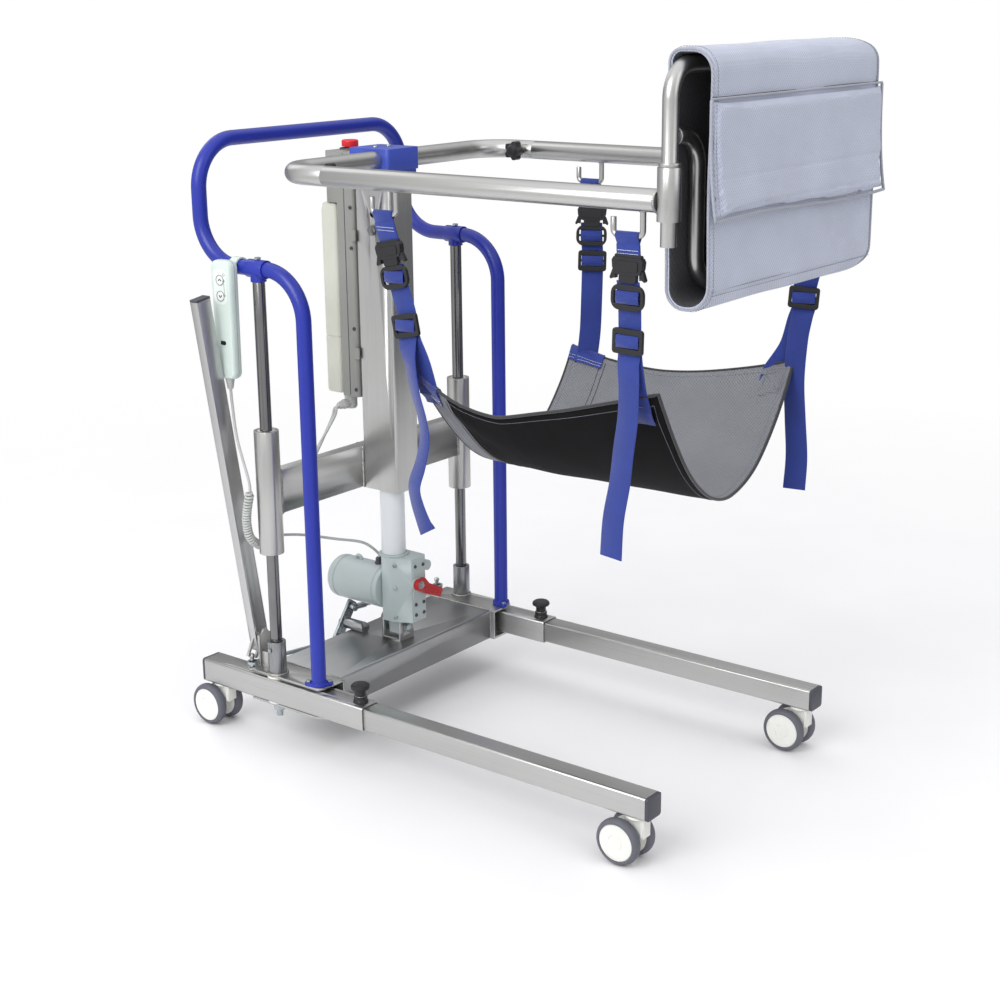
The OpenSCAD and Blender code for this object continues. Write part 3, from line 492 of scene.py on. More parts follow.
def circle(centre, out, r, steps=40, start=0.0, sweep=360.0):
    """Points of a circle or arc about the axis out."""
    place = axes(centre, out, X if abs(Vector(out).normalized().x) < 0.9 else Z)
    count = steps if sweep >= 360 else steps + 1
    angles = [math.radians(start + sweep * k / steps) for k in range(count)]
    return [place @ Vector((r * math.cos(a), r * math.sin(a), 0)) for a in angles]


def weld_bead(bm, path, r=2.2 * MM, closed=False):
    """Rippled weld seam along a path."""
    fine = []
    count = len(path) if closed else len(path) - 1
    for i in range(count):
        a, b = path[i], path[(i + 1) % len(path)]
        parts = max(1, round((b - a).length / (0.8 * MM)))
        fine.extend(a.lerp(b, k / parts) for k in range(parts))
    if not closed:
        fine.append(path[-1])
    tube(bm, fine, lambda run: r * (1 + 0.16 * math.sin(2 * math.pi * run / (2.6 * MM))), 8, closed)


def band(bm, path, width, thick, across=X, index=0):
    """Flat strap along a path, with rounded edges and a UV map in metres (across, along)."""
    layer = bm.loops.layers.uv.verify()
    section = [(-0.5, -0.2), (-0.48, -0.5), (0.48, -0.5), (0.5, -0.2),
               (0.5, 0.2), (0.48, 0.5), (-0.48, 0.5), (-0.5, 0.2)]
    tangents, _ = directions(path)
    rings, runs, run = [], [], 0.0
    for i, p in enumerate(path):
        run += (p - path[i - 1]).length if i else 0
        side = across(i / (len(path) - 1)) if callable(across) else Vector(across)
        side = (side - tangents[i] * side.dot(tangents[i])).normalized()
        normal = tangents[i].cross(side)
        rings.append([bm.verts.new(p + side * (u * width) + normal * (v * thick)) for u, v in section])
        runs.append(run)
    count = len(section)
    for i in range(len(path) - 1):
        for k in range(count):
            j = (k + 1) % count
            face = bm.faces.new([rings[i][k], rings[i][j], rings[i + 1][j], rings[i + 1][k]])
            face.material_index = index
            marks = [(section[k][0], runs[i]), (section[j][0], runs[i]),
                     (section[j][0], runs[i + 1]), (section[k][0], runs[i + 1])]
            for loop, (u, v) in zip(face.loops, marks):
                loop[layer].uv = (u * width, v)
    for ring in (rings[0], rings[-1]):
        bm.faces.new(ring).material_index = index


def stitches(bm, path, length=3.2 * MM, gap=1.4 * MM, r=0.42 * MM, index=0):
    """Row of short threads along a path."""
    total = sum((b - a).length for a, b in zip(path, path[1:]))
    count = max(1, int(total / (length + gap)))
    step = total / count

    def point(distance):
        for a, b in zip(path, path[1:]):
            leg = (b - a).length
            if distance <= leg:
                return a.lerp(b, distance / leg if leg else 0)
            distance -= leg
        return path[-1].copy()

    for k in range(count):
        start = k * step + gap / 2
        tube(bm, [point(start), point(start + length / 2), point(start + length)], r, 5, index=index)


def boxed_cross(corners):
    """The sides and the two diagonals of a four-cornered box, as pairs of ends."""
    sides = list(zip(corners, corners[1:] + corners[:1]))
    return sides + [(corners[0], corners[2]), (corners[1], corners[3])]


def hex_screw(bm, centre, out, across, height, washer=0.0, index=0):
    """Hexagonal head with a chamfered top, on a thin washer."""
    place = axes(centre, out, Z if abs(Vector(out).normalized().z) < 0.9 else X)
    if washer:
        disc(bm, washer, 0, 1.2 * MM, place, 28, index)
    base = 1.2 * MM if washer else 0
    r = across / math.sqrt(3)
    outline = [(r * math.cos(math.radians(60 * k)), r * math.sin(math.radians(60 * k))) for k in range(6)]
    prism(bm, outline, base, base + height * 0.85, place, index)
    disc(bm, across * 0.47, base + height * 0.84, base + height, place, 24, index)


def socket_screw(bm, centre, out, r, height, index=0, socket_index=None):
    """Round-headed screw with a hexagonal recess."""
    place = axes(centre, out, Z if abs(Vector(out).normalized().z) < 0.9 else X)
    depth = height * 0.55
    lathe(bm, [(0, 0), (r, 0), (r, height * 0.45), (r * 0.86, height * 0.85), (r * 0.6, height),
               (r * 0.5, height), (r * 0.46, height - depth), (0, height - depth)], place, 24, index)
    if socket_index is not None:
        disc(bm, r * 0.44, height - depth, height - depth + 0.2 * MM, place, 6, socket_index)


def two_sheets(bm, nu, nv, spot, index=lambda sheet, i: 0, rim_index=0):
    """Closed slab between two grids; spot(i, j, sign, rim) is a point, and rim is 0 on the border."""
    sheets = []
    for sign in (1, -1):
        sheets.append([[bm.verts.new(spot(i, j, sign, min(i, nu - i, j, nv - j))) for j in range(nv + 1)]
                       for i in range(nu + 1)])
    for sheet, grid in enumerate(sheets):
        for i in range(nu):
            for j in range(nv):
                face = bm.faces.new([grid[i][j], grid[i + 1][j], grid[i + 1][j + 1], grid[i][j + 1]])
                face.material_index = index(sheet, i)
    top, under = sheets
    border = ([(i, 0) for i in range(nu)] + [(nu, j) for j in range(nv)]
              + [(i, nv) for i in range(nu, 0, -1)] + [(0, j) for j in range(nv, 0, -1)])
    for (a, b), (c, d) in zip(border, border[1:] + border[:1]):
        bm.faces.new([top[a][b], top[c][d], under[c][d], under[a][b]]).material_index = rim_index


# ---------------------------------------------------------------- frame parts

CORNERS = ("front_right", "front_left", "rear_right", "rear_left")
FRAME_MATERIALS = {
    "base_channels": STEEL_X, "base_deck": DECK_STEEL, "guide_sockets": SOCKET_STEEL_PAINTED_DARK, "guide_rods": POLISHED,
    "push_handle": BLUE, "handle_collars": BLUE, "base_bolts": ZINC, "leg_bumpers": RUBBER,
    "leg_pivot_bolts": ZINC, "pivot_washers": NYLON, "actuator_bracket": STEEL_X,
    "gearbox": GREY_PAINT, "actuator_motor": GREY_PAINT, "actuator_tube": WHITE_TUBE,
    "release_lever": LEVER_RED, "crank_plate": ZINC, "tie_rod_right": ZINC, "tie_rod_left": ZINC,
    "spread_lever": LEVER_STEEL, "lever_cap": DARK, "guide_sleeves": STEEL_Z, "slide_bushes": NYLON,
    "crossbeam": STEEL_Y, "mast": STEEL_Z, "mast_cap": CAP_BLUE, "actuator_rod": POLISHED,
    "rear_arm_bar": STEEL_X, "right_arm_knob": BLACK, "left_arm_knob": BLACK,
    "control_box": BOX_GREY, "battery_pack": CREAM, "stop_button": RED, "front_arms": STEEL_X,
    "gate_frame": STEEL_Y, "gate_latch": ZINC, "back_pad": PAD_FABRIC, "sling_seat": SLING_TOP,
    "sling_straps": WEBBING, "strap_buckles": BLACK, "hand_control": MINT,
    "up_button": BUTTON, "down_button": BUTTON,
}
for side in ("right", "left"):
    FRAME_MATERIALS[side + "_leg_tube"] = STEEL_X
    FRAME_MATERIALS[side + "_front_leg"] = STEEL_X
    FRAME_MATERIALS[side + "_rear_cap"] = DARK
    FRAME_MATERIALS[side + "_front_cap"] = DARK
    FRAME_MATERIALS[side + "_leg_knob"] = BLACK
for corner in CORNERS:
    FRAME_MATERIALS["caster_fork_" + corner] = CASTER_WHITE
    FRAME_MATERIALS["caster_wheels_" + corner] = TYRE
SOFT_EDGES = {"gearbox": 2.2 * MM, "mast_cap": 2.5 * MM, "release_lever": 1.4 * MM, "gate_latch": 1.0 * MM}


def finish_frame_part(name, material):
    """Gives a CAD node its material and softly broken edges."""
    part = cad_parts[name]
    part.data.materials.clear()
    part.data.materials.append(material)
    for polygon in part.data.polygons:
        polygon.use_smooth = True
    weld = part.modifiers.new("weld", "WELD")
    weld.merge_threshold = 0.002 * MM
    bevel = part.modifiers.new("edge", "BEVEL")
    bevel.width = SOFT_EDGES.get(name, 0.6 * MM)
    bevel.segments = 2
    bevel.limit_method = "ANGLE"
    bevel.angle_limit = math.radians(35)
    bevel.harden_normals = True


# ---------------------------------------------------------------- hard parts

def caster(corner):
    """White discs with grey tyres on both sides of the fork, the fork's ribs, and a washer under the leg."""
    wheels, fork = Box("caster_wheels_" + corner), Box("caster_fork_" + corner)
    body = "wheels_" + corner
    r = wheels.size.z / 2
    inner, outer = 11.5 * MM, wheels.size.y / 2
    rim = r - 8 * MM
    discs, tyres = bmesh.new(), bmesh.new()
    for side in (-1, 1):
        place = axes(wheels.mid, Y * side, Z)
        lathe(discs, [
            (0, inner), (rim + 0.4 * MM, inner), (rim + 0.4 * MM, outer - 2.6 * MM),
            (rim - 1.2 * MM, outer - 1.2 * MM),
            (rim * 0.72, outer - 0.3 * MM), (rim * 0.44, outer), (rim * 0.42, outer - 0.9 * MM),
            (rim * 0.37, outer - 0.9 * MM), (rim * 0.35, outer + 0.1 * MM), (0, outer + 0.4 * MM)], place, 72)
        width = outer - inner
        crown = [(rim, inner)]
        for k in range(13):
            a = math.radians(-90 + 15 * k)
            crown.append((r - 7 * MM + 7 * MM * math.cos(a), inner + width / 2 + (width / 2) * math.sin(a)))
        crown.append((rim, outer))
        lathe(tyres, crown, place, 72, closed=True)
    place = axes(wheels.mid, Y, Z)
    disc(discs, 4 * MM, -inner, inner, place)
    finish_mesh("caster_discs_" + corner, discs, CASTER_WHITE, body, 0.3 * MM)
    finish_mesh("caster_tyres_" + corner, tyres, TYRE, body, 0, 50,
                ("caster_wheels_" + corner,))

    end, hand = corner.split("_")
    leg = Box(hand + ("_front_leg" if end == "front" else "_leg_tube"))
    swivel = Vector((wheels.mid.x + 22 * MM, wheels.mid.y, leg.low.z))
    washer = bmesh.new()
    lathe(washer, mm([(7, -0.25), (16, -0.25), (17, -1.1), (17, -2.0), (15, -3.2), (7, -3.2)]),
          Matrix.Translation(swivel), 40, closed=True)
    finish_mesh("caster_washer_" + corner, washer, ZINC, "caster_" + corner)
    rib = bmesh.new()
    for side in (-1, 1):
        y = wheels.mid.y + side * 9.9 * MM
        outline = ((-14, -7), (13, -7), (13, -34), (-12, -50))
        path = [Vector((swivel.x + x * MM, y, swivel.z + z * MM)) for x, z in outline]
        tube(rib, path, 1.6 * MM, 8)
    finish_mesh("caster_ribs_" + corner, rib, CASTER_WHITE, "caster_" + corner)


def leg_knob(side):
    """Mushroom knob of a front leg's plunger."""
    knob = Box(side + "_leg_knob")
    base = knob.high.z - 24 * MM
    bm = bmesh.new()
    profile = mm([(0, -19), (4, -19), (4, 0), (9.4, 0), (10, 0.8), (10, 8), (10.8, 10.2), (13.4, 12),
                  (16.6, 13.4), (17.5, 15.2), (17.5, 17), (16.6, 19.6), (13.6, 22), (8, 23.5), (0, 24)])
    lathe(bm, profile, Matrix.Translation((knob.mid.x, knob.mid.y, base)), 56)
    name = side + "_leg_knob"
    finish_mesh(name + "_grip", bm, BLACK, name, 0, 30, (name,))
    collar = bmesh.new()
    lathe(collar, mm([(10.6, -13), (14, -13), (13.2, -9), (12, -7), (12, -0.6), (10.6, -0.6)]),
          Matrix.Translation((knob.mid.x, knob.mid.y, base)), 48, closed=True)
    finish_mesh(name + "_collar", collar, BLACK, side + "_leg", 0.4 * MM)


def gearbox_details():
    """Cover, screws and collar on the actuator's gearbox."""
    box, tube_box = Box("gearbox"), Box("actuator_tube")
    front = 56 * MM
    cover, screws, bolts, collar = bmesh.new(), bmesh.new(), bmesh.new(), bmesh.new()
    place = axes((front - 0.2 * MM, 6 * MM, 244 * MM), X, Z)
    prism(cover, round_rect(34 * MM, 112 * MM, 9 * MM), 0, 1.4 * MM, place)
    for y, z in ((-5, 293), (18, 292), (18, 240), (18, 216), (-5, 216), (-5, 195), (18, 195)):
        socket_screw(screws, (front + 1.2 * MM, y * MM, z * MM), X, 3.6 * MM, 2.4 * MM)
    near = Vector((18, -34, 0)).normalized()
    for z in (190, 250, 296):
        socket_screw(bolts, (27 * MM, -29.5 * MM, z * MM), near, 4.2 * MM, 2.4 * MM)
        socket_screw(bolts, (4 * MM, 31.8 * MM, z * MM), Y, 4.2 * MM, 2.4 * MM)
    r = tube_box.size.x / 2
    lathe(collar, [(r + 0.2 * MM, 0), (r + 6 * MM, 0), (r + 6 * MM, 2 * MM), (r + 4.5 * MM, 3.5 * MM),
                   (r + 0.2 * MM, 4 * MM)],
          Matrix.Translation((0, 0, box.high.z - 0.2 * MM)), 56, closed=True)
    finish_mesh("gearbox_cover", cover, GREY_PAINT, "base", 0.8 * MM)
    finish_mesh("gearbox_collar", collar, GREY_PAINT, "base", 0.5 * MM)
    finish_mesh("gearbox_screws", screws, DARK, "base", 0, 30)
    finish_mesh("gearbox_bolts", bolts, ZINC, "base", 0, 30)


def motor():
    """Can motor with end seams, an end boss, a ring lug and a cable gland; returns the gland's tip."""
    box = Box("actuator_motor")
    r = (box.high.y - box.low.y) / 2
    centre = Vector((box.high.x, box.mid.y, box.low.z + r))
    length = box.size.x
    place = axes(centre, -X, Z)
    bm = bmesh.new()

    def seam(z):
        """Shallow groove round the can at a distance from the gearbox, in millimetres."""
        return [(0, z - 0.6), (-1, z), (-1, z + 1), (0, z + 1.6)]

    end = length / MM
    rim = [(0, 1), *seam(10), *seam(end - 24), (0, end - 15), (-1.5, end - 9), (-6, end - 3.5),
           (-13, end - 0.5)]
    profile = [(0, 0), (r - 1 * MM, 0)]
    profile += [(r + inset * MM, z * MM) for inset, z in rim]
    profile += [(13 * MM, length), (12 * MM, length + 1 * MM), (0, length + 1 * MM)]
    lathe(bm, profile, place, 72)
    lug = centre + Vector((-78 * MM, 0, r))
    tube(bm, circle(lug, Y, 7 * MM, 32), 3 * MM, 10, True)
    brick(bm, lug + Vector((-8, -4, -9)) * MM, lug + Vector((8, 4, -4.5)) * MM)
    finish_mesh("motor_body", bm, GREY_PAINT, "base", 0, 35, ("actuator_motor",))
    fittings = bmesh.new()
    gland = centre + Vector((-26 * MM, 0, r - 1.5 * MM))
    lathe(fittings, mm([(0, 0), (8, 0), (8, 5), (6.4, 6), (6.4, 12), (4.4, 15), (0, 15)]),
          Matrix.Translation(gland), 8)
    for a in (30, 150, 270):
        turn = math.radians(a)
        spot = centre + Vector((-length + 0.6 * MM, 26 * MM * math.cos(turn), 26 * MM * math.sin(turn)))
        socket_screw(fittings, spot, -X, 3.2 * MM, 2.4 * MM)
    finish_mesh("motor_fittings", fittings, DARK, "base", 0.4 * MM, 30)
    return gland + Z * 13.5 * MM


def release_lever_details():
    """Steel pivot screw and a finger rib on the red lever."""
    box = Box("release_lever")
    bm = bmesh.new()
    pivot = Vector((box.high.x - 0.2 * MM, box.low.y + 11 * MM, box.high.z - 11 * MM))
    hex_screw(bm, pivot, X, 9 * MM, 4 * MM, 7.5 * MM)
    finish_mesh("release_screw", bm, ZINC, "release_lever", 0.3 * MM)
    rib = bmesh.new()
    path = [pivot + Vector(p) * MM for p in ((-1.4, 14, -9), (-1.4, 32, -17), (-1.4, 54, -29))]
    tube(rib, path, 1.6 * MM, 8)
    finish_mesh("release_rib", rib, LEVER_RED, "release_lever", 0, 60)


def stacked_box(name, width_x, width_y, r, levels, centre, material, body, edge, stands_for=()):
    """Rounded box lofted through (height, inset) levels, for draft and seams."""
    bm = bmesh.new()
    outlines = []
    for z, inset in levels:
        outline = round_rect(width_x - 2 * inset, width_y - 2 * inset, max(r - inset, 1 * MM))
        outlines.append([Vector((centre[0] + x, centre[1] + y, z)) for x, y in outline])
    loft(bm, outlines)
    return finish_mesh(name, bm, material, body, edge, 35, stands_for)


def battery():
    """Cream battery pack with a finger seam near its top and a latch."""
    box = Box("battery_pack")
    low, high = box.low.z, box.high.z
    seam = low + 0.30 * (high - low)
    levels = [(low, 5 * MM), (low + 1.5 * MM, 2 * MM), (low + 5 * MM, 0),
              (seam, 0), (seam + 0.6 * MM, 1.2 * MM), (seam + 1.8 * MM, 1.2 * MM), (seam + 2.4 * MM, 0),
              (high - 16 * MM, 0), (high - 3 * MM, 2.4 * MM), (high - 0.5 * MM, 6 * MM), (high, 9 * MM)]
    stacked_box("battery_case", box.size.x, box.size.y, 9 * MM, levels, box.mid, CREAM, "battery",
                0.4 * MM, ("battery_pack",))
    bm = bmesh.new()
    place = axes((box.low.x + 0.3 * MM, box.mid.y, high - 46 * MM), -X, Z)
    prism(bm, round_rect(34 * MM, 16 * MM, 5 * MM), 0, 1.8 * MM, place)
    finish_mesh("battery_latch", bm, BOX_GREY, "battery", 0.7 * MM)


def control_box():
    """Seam, lid, screws, clips and plug of the control box; returns where its two leads start."""
    box = Box("control_box")
    seam_x = box.high.x - 24 * MM
    near, far = box.low.y, box.high.y
    groove, screws, sockets, clips = bmesh.new(), bmesh.new(), bmesh.new(), bmesh.new()
    low, high, over = box.low.z + 3 * MM, box.high.z - 3 * MM, box.high.z + 0.1 * MM
    outline = ((near - 0.1 * MM, low), (near - 0.1 * MM, high), (near + 3 * MM, over),
               (far - 3 * MM, over), (far + 0.1 * MM, high), (far + 0.1 * MM, low))
    path = [Vector((seam_x, y, z)) for y, z in outline]
    tube(groove, path, 0.7 * MM, 8)
    lid = axes((box.low.x + 0.2 * MM, box.mid.y, box.high.z - 46 * MM), -X, Z)
    prism(groove, round_rect(46 * MM, 58 * MM, 8 * MM), 0, 0.8 * MM, lid)
    finish_mesh("control_box_seam", groove, DARK, "carriage", 0, 50)
    for z in (box.low.z + 14 * MM, box.low.z + 130 * MM, box.low.z + 280 * MM, box.high.z - 100 * MM,
              box.high.z - 14 * MM):
        for y, out in ((near, -Y), (far, Y)):
            socket_screw(screws, (box.high.x - 9 * MM, y, z), out, 3.6 * MM, 2.2 * MM)
    for z in (box.low.z + 84 * MM, box.low.z + 304 * MM):
        for side in (-1, 1):
            place = axes((box.high.x - 3 * MM, side * 34.5 * MM, z), Y * side, Z)
            prism(clips, round_rect(12 * MM, 22 * MM, 3 * MM), 0, 3.4 * MM, place)
    finish_mesh("control_box_screws", screws, DARK, "carriage", 0.3 * MM, 30)
    finish_mesh("control_box_clips", clips, BOX_GREY, "carriage", 0.6 * MM, 30)
    plug = Vector((-88 * MM, -10 * MM, box.low.z + 0.4 * MM))
    lathe(sockets, mm([(0, 0), (13, 0), (13, 10), (11.5, 11.5), (11.5, 26), (9, 30), (0, 31)]),
          axes(plug, -Z, X), 32)
    elbow = Vector((-0.25, -1, -0.12)).normalized()
    lathe(sockets, mm([(0, 0), (9.5, 0), (9.5, 18), (8, 20), (7.2, 26), (5.5, 31), (0, 32)]),
          axes(plug - Z * 19 * MM, elbow, Z), 28)
    end = plug - Z * 19 * MM + elbow * 29 * MM
    glands = [(end + Vector((side * 3, 0, side * 1.5)) * MM, elbow) for side in (-1, 1)]
    finish_mesh("control_box_plug", sockets, CABLE_GREY, "carriage", 0.4 * MM, 35)
    collar = bmesh.new()
    stop = Box("stop_button")
    lathe(collar, mm([(16.6, -1), (20, -1), (19.4, 2.6), (16.6, 2.6)]),
          Matrix.Translation((stop.mid.x, stop.mid.y, box.high.z)), 48, closed=True)
    finish_mesh("stop_collar", collar, DARK, "carriage", 0.4 * MM)
    return glands


def mast_fittings():
    """Screws on the mast and its cap, and the weld beads of the carriage."""
    mast, cap = Box("mast"), Box("mast_cap")
    bm = bmesh.new()
    for side in (-1, 1):
        for x in (-18, 26):
            spot = (x * MM, cap.mid.y + side * cap.size.y / 2, cap.high.z - 12 * MM)
            socket_screw(bm, spot, Y * side, 4 * MM, 3 * MM)
        spot = (14 * MM, side * mast.size.y / 2, cap.low.z - 12 * MM)
        hex_screw(bm, spot, Y * side, 8 * MM, 4 * MM, 6.5 * MM)
    for y in (-18, 18):
        socket_screw(bm, (cap.mid.x - 4 * MM, y * MM, cap.high.z), Z, 5 * MM, 3.2 * MM)
    finish_mesh("mast_screws", bm, ZINC, "carriage", 0.2 * MM, 30)

    beads = bmesh.new()
    beam, sleeves = Box("crossbeam"), Box("guide_sleeves")
    sleeve_r = sleeves.size.x / 2
    for side in (-1, 1):
        for x in (beam.low.x, beam.high.x):
            y = side * (mast.high.y + 0.6 * MM)
            spot = (x, side * 20 * MM) if x < -60 * MM else (mast.low.x, y)
            weld_bead(beads, [Vector((*spot, beam.low.z)), Vector((*spot, beam.high.z))], 3 * MM)
        rod_y = side * (sleeves.high.y - sleeve_r)
        for x in (beam.low.x, beam.high.x):
            reach = math.sqrt(max(sleeve_r ** 2 - (x - sleeves.mid.x) ** 2, 0))
            y = rod_y - side * (reach + 0.4 * MM)
            weld_bead(beads, [Vector((x, y, beam.low.z)), Vector((x, y, beam.high.z))], 3 * MM)
        for z in (beam.low.z, beam.high.z):
            arc = []
            for k in range(9):
                x = beam.low.x + (beam.high.x - beam.low.x) * k / 8
                reach = math.sqrt(sleeve_r ** 2 - (x - sleeves.mid.x) ** 2)
                arc.append(Vector((x, rod_y - side * (reach + 0.4 * MM), z)))
            weld_bead(beads, arc, 2.2 * MM)
    for z in (beam.low.z, beam.high.z):
        weld_bead(beads, [Vector((mast.low.x, y, z)) for y in (mast.low.y, mast.high.y)], 2.2 * MM)
    finish_mesh("carriage_welds", beads, WELD, "carriage", 0, 60)


def base_welds():
    """Weld beads and set screws of the base."""
    sockets, deck = Box("guide_sockets"), Box("base_deck")
    top = DECK_TOP
    r = sockets.size.x / 2
    beads, bolts, foot_beads = bmesh.new(), bmesh.new(), bmesh.new()
    for side in (-1, 1):
        centre = Vector((sockets.mid.x, side * (sockets.high.y - r), top))
        weld_bead(beads, circle(centre + Z * 0.8 * MM, Z, r + 0.8 * MM), 2.2 * MM, True)
        post = Vector((50 * MM, centre.y, top + 6.6 * MM))
        weld_bead(foot_beads, circle(post, Z, 14.1 * MM), 1.9 * MM, True)
        seam_y = side * 224 * MM
        along = [Vector((x, seam_y, top)) for x in (deck.low.x + 4 * MM, deck.high.x - 4 * MM)]
        weld_bead(beads, along, 1.7 * MM)
        down = [Vector((deck.high.x, seam_y, z)) for z in (top - 4 * MM, top - 56 * MM)]
        weld_bead(beads, down, 1.9 * MM)
        hex_screw(bolts, (centre.x, centre.y + side * r, top + 48 * MM), Y * side, 7 * MM, 3 * MM)
    finish_mesh("base_welds", beads, WELD, "base", 0, 60)
    finish_mesh("handle_welds", foot_beads, BLUE, "base", 0, 60)
    finish_mesh("socket_screws", bolts, ZINC, "base", 0.2 * MM)


def arm_welds():
    """Weld beads of the hooks, the hinge sleeve and the knob bosses."""
    beads, rear, gate_beads = bmesh.new(), bmesh.new(), bmesh.new()
    for side in (-1, 1):
        for x in (282, 750):
            centre = Vector((x * MM, side * ARM_Y, ARM_Z - ARM_R + 1.2 * MM))
            weld_bead(beads, circle(centre, Z, 5.2 * MM, 20), 1.6 * MM, True)
        boss = Vector((106 * MM, side * (ARM_Y - ARM_R + 0.6 * MM), ARM_Z))
        weld_bead(rear, circle(boss, Y, 9.4 * MM, 28), 1.6 * MM, True)
    ring = []
    for k in range(32):
        a = 2 * math.pi * k / 32
        ring.append(Vector((776.6 * MM - 0.4 * MM * math.cos(2 * a), -ARM_Y + ARM_R * 0.99 * math.cos(a),
                            ARM_Z + ARM_R * 0.99 * math.sin(a))))
    weld_bead(beads, ring, 2.2 * MM, True)
    branch = Vector((793 * MM, -ARM_Y + 12.1 * MM, 1148 * MM))
    weld_bead(gate_beads, circle(branch, Y, 12 * MM, 36), 1.9 * MM, True)
    finish_mesh("arm_welds", beads, WELD, "arms", 0, 60)
    finish_mesh("arm_boss_welds", rear, WELD, "carriage", 0, 60)
    finish_mesh("gate_welds", gate_beads, WELD, "back_gate", 0, 60)


# ---------------------------------------------------------------- hand control and cables

def hand_control():
    """Moulded handset with a domed front, a hook, a lamp window, a line symbol and two round buttons."""
    box = Box("hand_control")
    up, down = Box("up_button"), Box("down_button")
    bottom, top = box.low.z + 20 * MM, box.high.z
    front = up.low.y + 1.4 * MM
    back = front + 22 * MM
    height = min(top - bottom, 210 * MM)
    mid = Vector((up.mid.x, 0, bottom + height / 2))
    bm = bmesh.new()
    levels = [(back, 4), (back - 2 * MM, 1.2), (back - 5 * MM, 0), (front + 7 * MM, 0), (front + 3 * MM, 0.8),
              (front + 0.9 * MM, 2.6), (front, 5.2)]

    def outline(inset):
        """Rounded outline that narrows a little towards the cable."""
        inset *= MM
        points = []
        for x, z in round_rect(49 * MM - 2 * inset, height - 2 * inset, 13 * MM - inset, 8):
            narrow = 0.5 - 0.5 * math.cos(math.pi * min(max(0.5 - z / height, 0), 1))
            points.append((x * (1 - 0.07 * narrow), z))
        return points

    rings = [[Vector((mid.x + x, y, mid.z + z)) for x, z in outline(inset)] for y, inset in levels]
    loft(bm, rings)
    finish_mesh("hand_control_shell", bm, MINT, "hand_control", 0, 30, ("hand_control",))

    seam = bmesh.new()
    loop = [Vector((mid.x + x, back - 10 * MM, mid.z + z)) for x, z in outline(0)]
    tube(seam, loop, 0.45 * MM, 6, True)
    finish_mesh("hand_control_seam", seam, BUTTON, "hand_control", 0, 60)

    face = axes((mid.x, front, mid.z), -Y, Z)
    panel = bmesh.new()
    place = face @ Matrix.Translation((0, (up.mid.z + down.mid.z) / 2 - mid.z + 2 * MM, -0.3 * MM))
    prism(panel, round_rect(32 * MM, 62 * MM, 10 * MM), 0, 0.9 * MM, place)
    rims = bmesh.new()
    for button in (up, down):
        centre = Vector((button.mid.x, front - 0.4 * MM, button.mid.z))
        lathe(rims, mm([(8.4, -1), (9.6, -1), (9.4, 1.0), (8.9, 1.4), (8.4, 1.0)]),
              axes(centre, -Y, Z), 48, closed=True)
    finish_mesh("hand_control_panel", panel, MINT_LIGHT, "hand_control", 0.25 * MM)
    finish_mesh("hand_control_rims", rims, BUTTON, "hand_control", 0, 30)

    dark = bmesh.new()
    place = face @ Matrix.Translation((0, -40 * MM, -0.2 * MM))
    prism(dark, round_rect(13 * MM, 7.5 * MM, 3 * MM), 0, 0.7 * MM, place)
    finish_mesh("hand_control_lamp", dark, LED, "hand_control", 0.2 * MM)
    marks = bmesh.new()
    x, z = mid.x + 14 * MM, (up.mid.z + down.mid.z) / 2
    y = front - 0.75 * MM
    tube(marks, [Vector((x - 4 * MM, y, z - 14 * MM)), Vector((x - 4 * MM, y, z + 15 * MM))], 0.5 * MM, 6)
    for lean in (-1, 1):
        tip = Vector((x - 4 * MM, y, z + 0.5 * MM + lean * 15 * MM))
        left, right = (tip + Vector((x * MM, 0, -lean * 3.4 * MM)) for x in (-3, 3))
        tube(marks, [left, tip, right], 0.5 * MM, 6)
    tube(marks, circle((x - 4 * MM, y, z + 24 * MM), Y, 2.4 * MM, 20), 0.45 * MM, 6, True)
    finish_mesh("hand_control_symbol", marks, BUTTON, "hand_control", 0, 60)

    hook = bmesh.new()
    rail_y, rail_z = -271 * MM, 888 * MM
    arc = [math.radians(10 * k) for k in range(19)]
    outline = [(17.4 * MM * math.cos(a), 17.4 * MM * math.sin(a)) for a in arc]
    outline += [(13.9 * MM * math.cos(a), 13.9 * MM * math.sin(a)) for a in reversed(arc)]
    prism(hook, outline, 0, 18 * MM, axes((mid.x, rail_y, rail_z), X, Z))
    finish_mesh("hand_control_hook", hook, MINT, "hand_control", 0.8 * MM)

    for name, button, lean in (("up_button", up, 1), ("down_button", down, -1)):
        cap = bmesh.new()
        place = axes((button.mid.x, button.high.y, button.mid.z), -Y, Z)
        t = button.size.y
        lathe(cap, [(0, 0), (7.8 * MM, 0), (8 * MM, t * 0.6), (7.2 * MM, t * 0.9), (4.5 * MM, t * 0.86),
                    (0, t * 0.82)], place, 48)
        finish_mesh(name + "_cap", cap, MARK, name, 0, 35, (name,))
        chevron = bmesh.new()
        tip = [(-3.6, -1.4 * lean), (0, 2.2 * lean), (3.6, -1.4 * lean)]
        tube(chevron, [place @ Vector((a * MM, b * MM, t * 0.86)) for a, b in tip], 1.0 * MM, 8)
        finish_mesh(name + "_chevron", chevron, DARK, name, 0, 60)

    relief = bmesh.new()
    rings = [(0, 2)]
    for k in range(6):
        z = 1 - 3.4 * k
        rings += [(8.6 - 0.6 * k, z), (8.6 - 0.6 * k, z - 2.2)]
        rings += [(7.4 - 0.6 * k, z - 2.4), (7.4 - 0.6 * k, z - 3.2)]
    rings.append((0, -20))
    lathe(relief, mm(rings), Matrix.Translation((mid.x, (front + back) / 2, bottom)), 32)
    finish_mesh("hand_control_relief", relief, CABLE_GREY, "hand_control", 0, 40)
    return Vector((mid.x, (front + back) / 2, bottom - 19 * MM))


